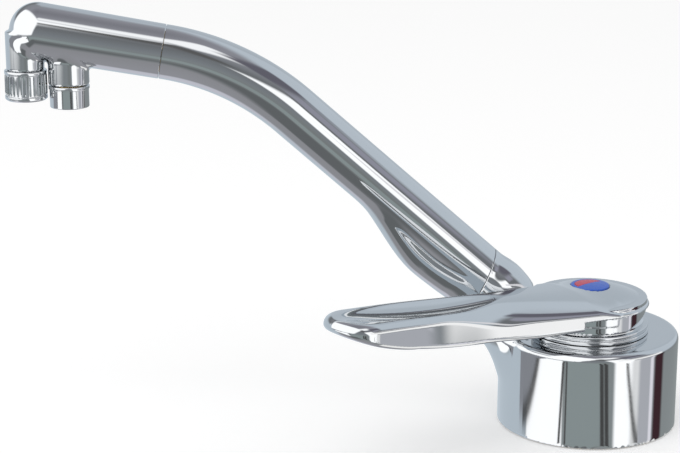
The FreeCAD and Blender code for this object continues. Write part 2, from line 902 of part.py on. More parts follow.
def arm_path(start, end):
    """Straight, bend and straight, tangent to each other."""
    reach = bend_r * math.tan(math.radians((arm_angle - head_angle) / 2))
    first = BEND_CORNER - ARM_WAY * reach
    last = BEND_CORNER + HEAD_WAY * reach
    centre = first + down_from(arm_angle) * bend_r
    middle_way = (BEND_CORNER - centre).normalize()
    middle = centre + middle_way * bend_r
    return Part.Wire([
        Part.makeLine(start, first),
        Part.Arc(first, middle, last).toShape(),
        Part.makeLine(last, end),
    ])


def arm_tube(radius, start, end):
    circle = Part.Wire(Part.makeCircle(radius, start, ARM_WAY))
    return arm_path(start, end).makePipeShell([circle], True, True)


def eased(start, end, share):
    """Between two values, starting and ending without a kink."""
    return start + (end - start) * share * share * (3 - 2 * share)


def keel_circle(along):
    """Section of the keel: deepest at its belly, then sinking into the tube."""
    if along < keel_belly_along:
        share = along / keel_belly_along
        radius = eased(keel_r, keel_belly_r, share)
        below = eased(keel_below, keel_belly_below, share)
    else:
        share = (along - keel_belly_along) / (keel_fade - keel_belly_along)
        radius = eased(keel_belly_r, keel_end_r, share)
        below = eased(keel_belly_below, tube_r - keel_end_r - keel_buried, share)
    centre = LOW_SEAM + ARM_WAY * along + down_from(arm_angle) * below
    return Part.Wire(Part.makeCircle(radius, centre, ARM_WAY))


def seam_ellipse():
    """The neck's keel, cut by the seam's plane: the arm's keel starts from it."""
    turn = math.radians(keel_angle - arm_angle + seam_lean)
    long_r = keel_r / math.cos(turn)
    in_plane = down_from(arm_angle - seam_lean)
    ellipse = Part.Ellipse()
    ellipse.MajorRadius = long_r
    ellipse.MinorRadius = keel_r
    ellipse.Center = seam_keel_centre()
    ellipse.Axis = SEAM_NORMAL
    ellipse.XAxis = in_plane
    return Part.Wire(ellipse.toShape())


def seam_keel_centre():
    """Point where the keel's centre line meets the seam's plane."""
    gap = (LOW_SEAM - KEEL_SEAM).dot(SEAM_NORMAL) / KEEL_WAY.dot(SEAM_NORMAL)
    return KEEL_SEAM + KEEL_WAY * gap


def arm_keel():
    steps = 6
    sections = [seam_ellipse()]
    for index in range(1, steps + 1):
        sections.append(keel_circle(keel_fade * index / steps))
    return Part.makeLoft(sections, True, False)


def spout_arm():
    before = LOW_SEAM - ARM_WAY * tube_r
    end = HIGH_SEAM - HEAD_WAY * SEAM
    tube = arm_tube(tube_r, before, end)
    seam_cut = beyond(LOW_SEAM + SEAM_NORMAL * SEAM, SEAM_NORMAL * -1)
    outside = fused(tube.cut(seam_cut), arm_keel().cut(seam_cut))
    bore = arm_tube(arm_bore_r, before, HIGH_SEAM)
    cheek = bar(tube_r + 1, LOW_SEAM - ARM_WAY * tube_r, LOW_SEAM + ARM_WAY * nipple_half)
    far_cheek = bar(tube_r + 1, HIGH_SEAM - HEAD_WAY * nipple_half, HIGH_SEAM + HEAD_WAY * 1)
    bore = bore.cut(cheek).cut(far_cheek)
    tools = [
        bore,
        bar(nipple_r, before, LOW_SEAM + ARM_WAY * nipple_half),
        bar(nipple_r, HIGH_SEAM - HEAD_WAY * nipple_half, HIGH_SEAM + HEAD_WAY * 1),
    ]
    return cut_all(outside, *tools)


# Head
jet_shoulder = HEAD_END.z - jet_down
jet_nose = jet_shoulder - jet_nose_h
collar_top = jet_shoulder - SEAM
collar_foot = collar_top - collar_h
spray_shoulder = HEAD_END.z - spray_down
stem_top = spray_shoulder + stem_up
sleeve_top = spray_shoulder - FREE
stem_flange_top = sleeve_top - sleeve_catch - pull_play - pull_range
stem_foot = stem_flange_top - stem_flange_h
sleeve_foot = stem_foot - spray_room - plate_spray_t


def head_shell():
    cone = Part.makeCone(tube_r, head_r, head_axis_run, HIGH_SEAM, HEAD_WAY)
    jet = fused(
        rod(jet_r, jet_shoulder, HEAD_END.z, -jet_x, 0),
        rod(jet_nose_r, jet_nose, jet_shoulder, -jet_x, 0),
    )
    spray = rod(spray_r, spray_shoulder, HEAD_END.z - head_crown, -spray_x, 0)
    return fused(cone, ball(head_r, HEAD_END), jet, spray)


def spout_head():
    inner_end = HEAD_END - HEAD_WAY * head_end_wall
    tools = [
        bar(head_bore_r, HIGH_SEAM + HEAD_WAY * nipple_half, inner_end),
        ball(head_bore_r, inner_end),
        bar(nipple_r, HIGH_SEAM - HEAD_WAY, HIGH_SEAM + HEAD_WAY * nipple_half),
        rod(jet_bore_r, jet_nose - 1, HEAD_END.z, -jet_x, 0),
        rod(stem_r, spray_shoulder - 1, stem_top, -spray_x, 0),
        rod(stem_in, stem_top - 1, HEAD_END.z - head_crown, -spray_x, 0),
    ]
    return cut_all(head_shell(), *tools)


def aerator_collar():
    low = collar_foot
    high = collar_top
    body = ring(collar_r, jet_nose_r, low, high, -jet_x, 0)
    lip = ring(jet_nose_r, collar_lip_in, low, low + collar_lip_t, -jet_x, 0)
    body = fused(body, lip)
    flutes = []
    for x, y in around(flute_count, collar_r):
        flutes.append(rod(flute_r, low + flute_margin, high - flute_margin, x - jet_x, y))
    return cut_all(body, *flutes)


def aerator_washer():
    return ring(jet_nose_r, jet_bore_r, jet_nose - aerator_washer_t, jet_nose, -jet_x, 0)


def shower_holes():
    """One hole in the middle and rings of six, twelve and so on round it."""
    places = [(0.0, 0.0)]
    for index in range(1, spray_ring_count + 1):
        places += around(6 * index, spray_pitch * index)
    return places


def aerator_insert():
    low = collar_foot + collar_lip_t
    high = jet_nose - aerator_washer_t
    body = rod(jet_nose_r, low, high, -jet_x, 0)
    tools = [rod(collar_lip_in - insert_wall, low + insert_floor, high + 1, -jet_x, 0)]
    for x, y in shower_holes():
        tools.append(rod(mesh_hole_r, low - 1, low + 2, x - jet_x, y))
    return cut_all(body, *tools)


def spray_stem():
    tube = rod(stem_r, stem_foot, stem_top, -spray_x, 0)
    flange = rod(stem_flange_r, stem_foot, stem_flange_top, -spray_x, 0)
    body = fused(tube, flange)
    groove = spray_seal()
    return cut_all(body, rod(stem_in, stem_foot - 1, stem_top + 1, -spray_x, 0), groove)


def spray_seal():
    middle = (stem_foot + stem_flange_top) / 2
    low = middle - spray_ring_h / 2
    return ring(stem_flange_r, stem_flange_r - spray_ring_depth, low, low + spray_ring_h, -spray_x, 0)


def spray_sleeve():
    body = rod(sleeve_r, sleeve_foot, sleeve_top, -spray_x, 0)
    lip = rod(sleeve_lip_r, sleeve_top - sleeve_lip_h, sleeve_top, -spray_x, 0)
    catch = sleeve_top - sleeve_catch
    tools = [
        rod(stem_flange_r + RUN, sleeve_foot - 1, catch, -spray_x, 0),
        rod(stem_r + RUN, catch - 1, sleeve_top + 1, -spray_x, 0),
    ]
    return cut_all(fused(body, lip), *tools)


def spray_plate():
    low = sleeve_foot
    high = low + plate_spray_t
    body = rod(stem_flange_r + RUN, low, high, -spray_x, 0)
    tools = [rod(plate_hole_r, low - 1, high + 1, x - spray_x, y) for x, y in shower_holes()]
    return cut_all(body, *tools)


NODES = {
    "base_gasket": base_gasket,
    "base_body": base_body,
    "swivel_stop_pin": stop_pin,
    "lower_slide_washer": lower_washer,
    "lower_swivel_bush": lambda: swivel_bush(lower_bush_z, bush_h),
    "upper_swivel_bush": lambda: swivel_bush(upper_bush_z, upper_bush_h),
    "lower_lip_seal": lambda: swivel_seal(lower_seal_z),
    "upper_lip_seal": lambda: swivel_seal(upper_seal_z),
    "upper_slide_ring": upper_slide_ring,
    "cover_ring": cover_ring,
    "cartridge_seals": cartridge_seals,
    "cartridge_base": cartridge_base,
    "fixed_ceramic_disc": fixed_disc,
    "cartridge_housing": cartridge_housing,
    "cartridge_nut": cartridge_nut,
    "moving_ceramic_disc": moving_disc,
    "disc_carrier": disc_carrier,
    "spindle_guide": spindle_guide,
    "spindle_pivot_pin": pivot_pin,
    "spindle": spindle,
    "lever": lever,
    "lever_screw": lever_screw,
    "badge_blue": badge_blue,
    "badge_red": badge_red,
    "spout_body": spout_body,
    "arm_nipple": lambda: nipple(LOW_SEAM, ARM_WAY, nipple_in),
    "arm_nipple_rings": lambda: nipple_rings(LOW_SEAM, ARM_WAY),
    "arm_grub_screw": arm_grub_screw,
    "spout_arm": spout_arm,
    "head_nipple": lambda: nipple(HIGH_SEAM, HEAD_WAY, nipple_in),
    "head_nipple_rings": lambda: nipple_rings(HIGH_SEAM, HEAD_WAY),
    "spout_head": spout_head,
    "aerator_washer": aerator_washer,
    "aerator_insert": aerator_insert,
    "aerator_collar": aerator_collar,
    "spray_stem": spray_stem,
    "spray_seal": spray_seal,
    "spray_sleeve": spray_sleeve,
    "spray_plate": spray_plate,
}

os.makedirs("parts", exist_ok=True)
for name, make in NODES.items():
    shape = make()
    solids = shape.Solids
    print(name, len(solids), shape.isValid(), round(shape.Volume, 1))
    shape.exportStep(f"parts/{name}.step")
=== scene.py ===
# %% [markdown]
# # A single-lever mixer tap in chrome
# The tap is already engineered: a drum that turns on a column, a long tube, a head
# with two outlets, and a lever over a ceramic cartridge. This notebook dresses it.
# Chrome shows every flaw of a surface, so the plated pieces are made again as
# smooth meshes, and the hidden pieces keep their engineered meshes.

# %% Load the engineered model
import json
import math

import bmesh
import bpy
import numpy as np
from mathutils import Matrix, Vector


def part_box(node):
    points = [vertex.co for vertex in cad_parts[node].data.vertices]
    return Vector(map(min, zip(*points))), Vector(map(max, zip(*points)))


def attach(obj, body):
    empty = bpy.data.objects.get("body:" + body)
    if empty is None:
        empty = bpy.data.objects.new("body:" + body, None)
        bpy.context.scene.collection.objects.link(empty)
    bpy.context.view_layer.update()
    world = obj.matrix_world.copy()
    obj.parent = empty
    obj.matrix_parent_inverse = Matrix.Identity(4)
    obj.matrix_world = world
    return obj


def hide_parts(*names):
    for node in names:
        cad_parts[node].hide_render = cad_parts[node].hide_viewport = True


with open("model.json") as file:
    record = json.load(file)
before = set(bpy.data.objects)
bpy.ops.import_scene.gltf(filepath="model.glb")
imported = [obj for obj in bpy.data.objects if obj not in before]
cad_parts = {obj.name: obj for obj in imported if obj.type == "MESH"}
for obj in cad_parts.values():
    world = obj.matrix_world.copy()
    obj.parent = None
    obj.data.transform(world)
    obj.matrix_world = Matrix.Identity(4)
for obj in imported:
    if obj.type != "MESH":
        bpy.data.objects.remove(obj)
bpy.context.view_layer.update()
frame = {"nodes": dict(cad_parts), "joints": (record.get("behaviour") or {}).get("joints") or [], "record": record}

# %% [markdown]
# ## Units and directions
# The model is in metres. A tap is drawn in millimetres, so each piece here is
# worked out in millimetres and scaled when its mesh is made. The spout points
# along -X, and the lever's direction is read from the slide of its ceramic disc.

# %% Named directions
MM = 0.001


def joint(name):
    return next(j for j in frame["joints"] if j["name"] == name)


LEVER_WAY = Vector(joint("disc_slide")["axis"])
PIVOT_Z = joint("lever_lift")["pos_m"][2] / MM
LIFT = math.radians(joint("lever_lift")["range_deg"][1])


def spout_way(degrees):
    turn = math.radians(degrees)
    return np.array([-math.cos(turn), 0.0, math.sin(turn)])


def under(degrees):
    """Square to a direction of the spout, on its underside."""
    turn = math.radians(degrees)
    return np.array([-math.sin(turn), 0.0, -math.cos(turn)])


lever_angle = math.degrees(math.atan2(-LEVER_WAY.y, -LEVER_WAY.x))
print("lever turned", round(lever_angle, 1), "degrees from the spout")

# %% [markdown]
# ## Smooth solids from distances
# A cast and polished part has no hard creases: where two forms meet, the polisher
# leaves a small round. Subdivision cages can do that, but a junction of a drum, a
# tube and a keel is hard to cage. Here each form is a function that gives the
# distance to its surface, and two of them are joined or cut with a round of a
# chosen radius. The surface where the distance is zero is then wrapped in quads.

# %% Ways to join and cut distances
def joined(a, b, radius):
    corner = np.hypot(np.maximum(radius - a, 0), np.maximum(radius - b, 0))
    return np.maximum(radius, np.minimum(a, b)) - corner


def common(a, b, radius):
    corner = np.hypot(np.maximum(radius + a, 0), np.maximum(radius + b, 0))
    return np.minimum(-radius, np.maximum(a, b)) + corner


def without(a, b, radius):
    return common(a, -b, radius)


def to_segment(p, start, end):
    """Distance from a straight piece of centre line, and the share of it passed."""
    run = end - start
    share = ((p - start) @ run) / (run @ run)
    share = np.clip(share, 0, 1)
    return np.linalg.norm(p - start - share[..., None] * run, axis=-1), share


def smooth_share(value, start, end):
    """Share of the way from start to end, without a kink at either."""
    share = np.clip((value - start) / (end - start), 0, 1)
    return share * share * (3 - 2 * share)


def upright(p, radius, low, high, edge, x=0.0):
    side = np.hypot(p[..., 0] - x, p[..., 1]) - radius
    ends = np.maximum(low - p[..., 2], p[..., 2] - high)
    return common(side, ends, edge)


# %% [markdown]
# The wrapping is the method called surface nets. A grid of cells covers the piece.
# Each cell that the surface passes through gets one point, and each grid edge that
# it crosses joins four points to a quad. The points are then eased apart and
# pushed back to the exact surface, so that reflections run without ripples.

# %% Wrap a distance in quads
def net_of(values, low, step):
    """Points and quads of the surface in a grid of distances."""
    cells = np.array(values.shape) - 1
    owners, spots, quads = [], [], []
    for axis in range(3):
        near = np.take(values, range(0, cells[axis]), axis)
        far = np.take(values, range(1, cells[axis] + 1), axis)
        where = np.argwhere((near < 0) != (far < 0))
        others = [i for i in range(3) if i != axis]
        inside = np.all([(where[:, i] > 0) & (where[:, i] < cells[i]) for i in others], axis=0)
        where = where[inside]
        a, b = near[tuple(where.T)], far[tuple(where.T)]
        spot = where.astype(float)
        spot[:, axis] += a / (a - b)
        ring = []
        for u, v in ((0, 0), (1, 0), (1, 1), (0, 1)):
            cell = where.copy()
            cell[:, others[0]] -= u
            cell[:, others[1]] -= v
            ring.append(np.ravel_multi_index(tuple(cell.T), tuple(cells)))
        owners += ring
        spots += [spot] * 4
        quads.append(np.stack(ring, axis=1))
    names, index = np.unique(np.concatenate(owners), return_inverse=True)
    spots = np.concatenate(spots)
    share = np.bincount(index)
    points = np.stack([np.bincount(index, spots[:, i]) / share for i in range(3)], axis=1)
    quads = np.searchsorted(names, np.concatenate(quads))
    return np.array(low) + points * step, quads


def slope(field, points, reach=0.02):
    parts = []
    for axis in range(3):
        shift = np.zeros(3)
        shift[axis] = reach
        parts.append(field(points + shift) - field(points - shift))
    way = np.stack(parts, axis=-1)
    return way / np.maximum(np.linalg.norm(way, axis=-1, keepdims=True), 1e-9)


def settle(field, points, step):
    gap = np.clip(field(points), -step, step)
    return points - gap[:, None] * slope(field, points)


def wrap(field, low, high, step):
    """Smooth quads round the solid whose distance is the field."""
    axes = [np.arange(low[i], high[i] + step, step) for i in range(3)]
    slabs = [field(np.stack(np.meshgrid([x], axes[1], axes[2], indexing="ij"), -1)) for x in axes[0]]
    points, quads = net_of(np.concatenate(slabs), low, step)
    a, b = quads.ravel(), np.roll(quads, -1, axis=1).ravel()
    share = np.bincount(a) + np.bincount(b)
    for _ in range(3):
        ease = [np.bincount(a, points[b, i]) + np.bincount(b, points[a, i]) for i in range(3)]
        points = 0.5 * points + 0.5 * np.stack(ease, 1) / share[:, None]
        points = settle(field, settle(field, points, step), step)
    corners = points[quads]
    facing = np.cross(corners[:, 2] - corners[:, 0], corners[:, 3] - corners[:, 1])
    turned = np.sum(facing * slope(field, corners.mean(axis=1)), axis=1) < 0
    quads[turned] = quads[turned][:, ::-1]
    return points, quads


# %% [markdown]
# ## From numbers to finished pieces
# Every finished object sits at the origin with its place in its mesh, as the
# engineered nodes do. Edges sharper than a chosen angle are kept sharp, and
# everything else is shaded smooth.

# %% Meshes and finishing
ROUND = math.radians(32)


def mesh_from(name, points, faces):
    mesh = bpy.data.meshes.new(name)
    mesh.from_pydata([tuple(p) for p in np.asarray(points) * MM], [], [tuple(f) for f in faces])
    mesh.validate()
    piece = bpy.data.objects.new(name, mesh)
    bpy.context.scene.collection.objects.link(piece)
    return piece


def reshape(piece, change):
    """Runs a change on the piece as an editable mesh."""
    bm = bmesh.new()
    bm.from_mesh(piece.data)
    change(bm)
    bm.to_mesh(piece.data)
    bm.free()
    return piece


def cut_off(piece, point, way, bevel):
    """Removes all beyond a plane and closes the end, with a small bevel round it."""
    point, way = Vector(point) * MM, Vector(way).normalized()
    bevel = bevel * MM

    def change(bm):
        every = bm.verts[:] + bm.edges[:] + bm.faces[:]
        cut = bmesh.ops.bisect_plane(
            bm, geom=every, plane_co=point - way * bevel, plane_no=way, clear_outer=True)
        rim = [e for e in cut["geom_cut"] if isinstance(e, bmesh.types.BMEdge)]
        grown = bmesh.ops.extrude_edge_only(bm, edges=rim)["geom"]
        loop = [v for v in grown if isinstance(v, bmesh.types.BMVert)]
        middle = sum((v.co for v in loop), Vector()) / len(loop)
        for v in loop:
            v.co += way * bevel + (middle - v.co).normalized() * bevel
        own = set(loop)
        ends = [e for e in grown if isinstance(e, bmesh.types.BMEdge) and set(e.verts) <= own]
        bmesh.ops.contextual_create(bm, geom=ends)

    return reshape(piece, change)


def finished(piece, body, slot, stands_for):
    """Shades the piece, gives it its finish and ties it to its body."""
    mesh = piece.data
    mesh.polygons.foreach_set("use_smooth", [True] * len(mesh.polygons))
    mesh.set_sharp_from_angle(angle=ROUND)
    mesh.materials.clear()
    mesh.materials.append(FINISHES[slot])
    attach(piece, body)
    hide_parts(*stands_for)
    print(f"{piece.name}: {len(mesh.polygons)} faces, rides on {body}")
    return piece


# %% [markdown]
# A turned piece is a profile swung round an upright axis. Each corner of the
# profile carries the radius of its round, because a lathe hand breaks every edge
# and the thin highlight along it is what makes metal look like metal.

# %% Turned pieces
def eased(corners, steps=5):
    """The profile with each corner (radius, height, round) turned into an arc."""
    points = []
    for index, (r, z, ease) in enumerate(corners):
        here = np.array([r, z], float)
        if ease == 0:
            points.append(here)
            continue
        before = np.array(corners[index - 1][:2], float) - here
        after = np.array(corners[(index + 1) % len(corners)][:2], float) - here
        before /= np.linalg.norm(before)
        after /= np.linalg.norm(after)
        half = math.acos(np.clip(before @ after, -1, 1)) / 2
        reach = ease / math.tan(half)
        middle = here + (before + after) / np.linalg.norm(before + after) * ease / math.sin(half)
        first, last = here + before * reach - middle, here + after * reach - middle
        sweep = math.pi - 2 * half
        for step in range(steps + 1):
            share = step / steps
            mix = math.sin((1 - share) * sweep) * first + math.sin(share * sweep) * last
            points.append(middle + mix / math.sin(sweep))
    return points


def turned_piece(name, corners, x=0.0, sides=128):
    """Closed profile swung round the upright axis at x; poles have radius 0."""
    profile = eased(corners)
    turns = [2 * math.pi * i / sides for i in range(sides)]
    points, rings = [], []
    for r, z in profile:
        count = 1 if r < 1e-6 else sides
        rings.append([len(points) + i for i in range(count)])
        points += [(x + r * math.cos(t), r * math.sin(t), z) for t in turns[:count]]
    faces = []
    for here, above in zip(rings, rings[1:] + rings[:1]):
        for i in range(sides):
            quad = [here[i % len(here)], here[(i + 1) % len(here)],
                    above[(i + 1) % len(above)], above[i % len(above)]]
            quad = list(dict.fromkeys(quad))
            if len(quad) > 2:
                faces.append(quad)
    piece = mesh_from(name, points, faces)
    return reshape(piece, lambda bm: bmesh.ops.recalc_face_normals(bm, faces=bm.faces))


# %% [markdown]
# ## Surface effects as shader groups
# Three effects come back in several finishes: the faint waviness and wipe marks
# of a polished skin, the fine rings that a lathe leaves, and the grain of a
# moulded surface. Each is one node group with named inputs, placed in every
# material that needs it with its own values.

# %% Helpers for node trees
def new_group(name, inputs, outputs):
    """A shader group; gives it with the sockets it is given and its output node."""
    group = bpy.data.node_groups.new(name, "ShaderNodeTree")
    for label, value in inputs.items():
        kind = "NodeSocketVector" if isinstance(value, tuple) else "NodeSocketFloat"
        socket = group.interface.new_socket(label, in_out="INPUT", socket_type=kind)
        socket.default_value = value
    for label in outputs:
        group.interface.new_socket(label, in_out="OUTPUT", socket_type="NodeSocketFloat")
    return group, group.nodes.new("NodeGroupInput").outputs, group.nodes.new("NodeGroupOutput")


def feed(tree, node, sockets):
    """Links inputs of a node to other sockets, or sets their values."""
    for label, value in sockets.items():
        if isinstance(value, bpy.types.NodeSocket):
            tree.links.new(value, node.inputs[label])
        else:
            node.inputs[label].default_value = value
    return node


def add(tree, kind, sockets=None, **settings):
    """A new node with its settings made and its inputs fed."""
    node = tree.nodes.new(kind)
    for key, value in settings.items():
        setattr(node, key, value)
    return feed(tree, node, sockets or {})


def maths(tree, operation, *values):
    """A Math node on sockets or numbers; gives its output socket."""
    return add(tree, "ShaderNodeMath", dict(enumerate(values)), operation=operation).outputs[0]


def noise(tree, coords, scale, detail=2.0):
    node = add(tree, "ShaderNodeTexNoise", {"Vector": coords, "Scale": scale, "Detail": detail})
    return node.outputs["Fac"]


def laid_over(tree, share, under_tone, over_tone):
    """One tone over the other, as far as the share says."""
    a, b = (tone if isinstance(tone, bpy.types.NodeSocket) else (*tone, 1)
            for tone in (under_tone, over_tone))
    return add(tree, "ShaderNodeMix", {"Factor": share, "A": a, "B": b}, data_type="RGBA").outputs["Result"]


# %% Polished skin
polish, given, out = new_group(
    "polished_skin",
    {"Wave Scale": 70.0, "Wave Depth": 0.3, "Smear Scale": 45.0, "Gloss": 0.04, "Smear": 0.03},
    ["Roughness", "Height"])
where = add(polish, "ShaderNodeTexCoord").outputs["Object"]
wave = noise(polish, where, given["Wave Scale"], 1.0)
smear = noise(polish, where, given["Smear Scale"], 5.0)
speck = noise(polish, where, 900.0)
mixed = maths(polish, "MULTIPLY", smear, speck)
feed(polish, out, {
    "Height": maths(polish, "MULTIPLY", wave, given["Wave Depth"]),
    "Roughness": maths(polish, "MULTIPLY_ADD", mixed, given["Smear"], given["Gloss"])})

# %% Lathe rings and moulded grain
lathe, given, out = new_group(
    "lathe_rings", {"Rings": 1800.0, "Depth": 0.6, "Gloss": 0.28, "Spread": 0.15}, ["Roughness", "Height"])
where = add(lathe, "ShaderNodeTexCoord").outputs["Object"]
rings = add(lathe, "ShaderNodeTexWave", {"Vector": where, "Scale": given["Rings"], "Distortion": 0.6},
            wave_type="BANDS", bands_direction="Z")
fine = noise(lathe, where, 400.0, 4.0)
feed(lathe, out, {
    "Height": maths(lathe, "MULTIPLY", rings.outputs["Fac"], given["Depth"]),
    "Roughness": maths(lathe, "MULTIPLY_ADD", fine, given["Spread"], given["Gloss"])})

grain, given, out = new_group(
    "moulded_grain", {"Grain Scale": 2600.0, "Depth": 0.5, "Matt": 0.45, "Spread": 0.2},
    ["Roughness", "Height", "Mottle"])
where = add(grain, "ShaderNodeTexCoord").outputs["Object"]
fine = noise(grain, where, given["Grain Scale"], 3.0)
broad = noise(grain, where, 120.0, 3.0)
feed(grain, out, {
    "Height": maths(grain, "MULTIPLY", fine, given["Depth"]),
    "Roughness": maths(grain, "MULTIPLY_ADD", broad, given["Spread"], given["Matt"]),
    "Mottle": broad})
print("groups:", polish.name, lathe.name, grain.name)

# %% [markdown]
# ## Finishes
# Chrome is a pale metal that sends back a little under two thirds of the light.
# Its colour hardly changes over the surface; its gloss does, where fingers and
# cloths have been. Brass, steel, rubber, plastics and ceramic are inside, and
# show when the tap is taken apart, so they get real finishes too.

# %% Build a finish
RELIEF_DEPTH, MOTTLE_SCALE = 0.0002, 38.0


def finish(name, group, values, tones, metallic=0.0, bump=0.02, coat=0.0, ior=1.5):
    """Material with the group's roughness and height, mottled between two tones."""
    material = bpy.data.materials.new(name)
    material.use_nodes = True
    tree = material.node_tree
    effect = add(tree, "ShaderNodeGroup", values, node_tree=group)
    relief = add(tree, "ShaderNodeBump", {
        "Strength": bump, "Distance": RELIEF_DEPTH, "Height": effect.outputs["Height"]})
    spread = noise(tree, add(tree, "ShaderNodeTexCoord").outputs["Object"], MOTTLE_SCALE, 4.0)
    feed(tree, tree.nodes["Principled BSDF"], {
        "Metallic": metallic, "Coat Weight": coat, "Coat Roughness": 0.05, "IOR": ior,
        "Roughness": effect.outputs["Roughness"], "Normal": relief.outputs["Normal"],
        "Base Color": laid_over(tree, spread, *tones)})
    return material


FINISHES = {
    "chrome": finish("polished_chrome", polish, {"Wave Depth": 0.5},
                     [(0.64, 0.655, 0.67), (0.68, 0.695, 0.71)], metallic=1.0, bump=0.05),
    "steel": finish("satin_steel", lathe, {"Gloss": 0.22},
                    [(0.50, 0.51, 0.52), (0.60, 0.60, 0.61)], metallic=1.0, bump=0.2),
    "brass": finish("turned_brass", lathe, {"Gloss": 0.2},
                    [(0.62, 0.43, 0.17), (0.76, 0.57, 0.27)], metallic=1.0, bump=0.25),
    "rubber": finish("black_rubber", grain, {"Matt": 0.55},
                     [(0.012, 0.012, 0.013), (0.03, 0.03, 0.032)], bump=0.3),
    "black_plastic": finish("slide_plastic", grain, {"Matt": 0.35},
                            [(0.015, 0.015, 0.017), (0.04, 0.04, 0.043)], bump=0.15),
    "white_plastic": finish("white_plastic", grain, {"Matt": 0.38},
                            [(0.70, 0.70, 0.67), (0.80, 0.80, 0.78)], bump=0.1),
    "ceramic": finish("lapped_ceramic", polish, {"Gloss": 0.16, "Smear": 0.12},
                      [(0.80, 0.78, 0.72), (0.88, 0.87, 0.83)], bump=0.05, coat=0.3),
    "red_enamel": finish("red_enamel", polish, {"Gloss": 0.32},
                         [(0.46, 0.03, 0.07), (0.56, 0.05, 0.10)], bump=0.05, coat=0.15, ior=1.35),
    "blue_enamel": finish("blue_enamel", polish, {"Gloss": 0.32},
                          [(0.03, 0.09, 0.46), (0.05, 0.14, 0.60)], bump=0.05, coat=0.15, ior=1.35)}
print("finishes:", ", ".join(FINISHES))

# %% [markdown]
# The engineered nodes that stay in sight or inside keep their meshes. Their
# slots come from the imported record, so each gets the finish it was planned with.

# %% Finish the engineered nodes
for part in frame["record"]["subparts"]:
    node = frame["nodes"][part["node"]]
    node.data.materials.clear()
    node.data.materials.append(FINISHES[part["material_slot"]])
print(len(frame["nodes"]), "nodes finished")

# %% [markdown]
# ## The spout's centre line
# The tube rises from the drum's wall, turns into a straight run, bends once and
# ends in the head. All of it is one chain of straight pieces and an arc, and the
# distance to that chain less the tube's radius is the tube.

# %% Sizes of the spout
TUBE_R = 10.6
ARM_ANGLE, HEAD_ANGLE, KEEL_ANGLE = 41.5, 10.0, 52.0
BEND_R = 100.0
DRUM_R, DRUM_TOP, DRUM_GAP = 36.0, 38.7, 0.5
NECK_END = np.array([-37.0, 0.0, 46.0])
CORNER = np.array([-37.0, 0.0, 56.9])
ARM_WAY, HEAD_WAY, KEEL_WAY = spout_way(ARM_ANGLE), spout_way(HEAD_ANGLE), spout_way(KEEL_ANGLE)
ARM_UNDER = under(ARM_ANGLE)
LOW_SEAM = CORNER + ARM_WAY * 10.0
SEAM_LEAN = 17.0
SEAM_WAY = spout_way(ARM_ANGLE - SEAM_LEAN)
BEND = LOW_SEAM + ARM_WAY * 127.4
HIGH_SEAM = BEND + HEAD_WAY * 29.6
HEAD_END = HIGH_SEAM + HEAD_WAY * 48.0
SEAM_GAP, SEAM_BELOW, RUN_BELOW = 0.16, 2.0, 6.0
LOW_CUT = LOW_SEAM - ARM_WAY * SEAM_BELOW
bend_reach = BEND_R * math.tan(math.radians((ARM_ANGLE - HEAD_ANGLE) / 2))
BEND_START, BEND_END = BEND - ARM_WAY * bend_reach, BEND + HEAD_WAY * bend_reach
BEND_CENTRE = BEND_START + ARM_UNDER * BEND_R
print("head ends at", np.round(HEAD_END, 1), "mm")


# %% The tube and its bend
def bend_distance(p):
    """Distance from the arc of the centre line, and infinity beside it."""
    from_centre = p - BEND_CENTRE
    radial = np.hypot(from_centre[..., 0], from_centre[..., 2])
    past_start = from_centre @ ARM_WAY > 0
    before_end = from_centre @ HEAD_WAY < 0
    away = np.hypot(radial - BEND_R, p[..., 1])
    return np.where(past_start & before_end, away, 1e3)


def tube(p):
    neck = to_segment(p, NECK_END, CORNER)[0]
    run = to_segment(p, CORNER - ARM_WAY * RUN_BELOW, BEND_START)[0]
    last = to_segment(p, BEND_END, HIGH_SEAM)[0]
    arm = np.minimum(np.minimum(run, last), bend_distance(p)) - TUBE_R
    return joined(neck - TUBE_R, arm, 3.0)


# %% [markdown]
# A keel runs up from the drum under the neck and dies into the arm. It steepens
# the casting where the bending load is greatest. Its centre line sinks into the
# tube along the arm, with a groove left on each side.

# %% The keel
KEEL_R, BELLY_R, KEEL_END_R = 10.0, 8.3, 9.0
KEEL_BELOW, BELLY_BELOW, KEEL_END_BELOW = 7.4, 9.9, 0.7
BELLY_ALONG, KEEL_FADE = 20.0, 62.0
KEEL_SEAM = LOW_SEAM + ARM_UNDER * KEEL_BELOW
KEEL_FOOT = KEEL_SEAM - KEEL_WAY * (KEEL_SEAM[2] - DRUM_TOP + 8.0) / math.sin(math.radians(KEEL_ANGLE))


def keel(p):
    from_seam = p - LOW_SEAM
    along, below = from_seam @ ARM_WAY, from_seam @ ARM_UNDER
    swell, sink = smooth_share(along, 0, BELLY_ALONG), smooth_share(along, BELLY_ALONG, KEEL_FADE)
    radius = KEEL_R + (BELLY_R - KEEL_R) * swell + (KEEL_END_R - BELLY_R) * sink
    centre = KEEL_BELOW + (BELLY_BELOW - KEEL_BELOW) * swell + (KEEL_END_BELOW - BELLY_BELOW) * sink
    on_arm = np.hypot(p[..., 1], below - centre) - radius
    on_arm = np.maximum(on_arm, along - KEEL_FADE - 5)
    on_neck = to_segment(p, KEEL_FOOT, KEEL_SEAM + KEEL_WAY * 20)[0] - KEEL_R
    return on_neck + (on_arm - on_neck) * smooth_share(along, -6, 8)


def spout_skin(p):
    return joined(tube(p), keel(p), 0.8)


# %% [markdown]
# ## The drum with its neck
# On the real tap the drum, the neck and the keel's root are one casting. The
# drum is hollow and turns on a fixed column, so its inside is cut out to the
# same clearances as the engineered part.

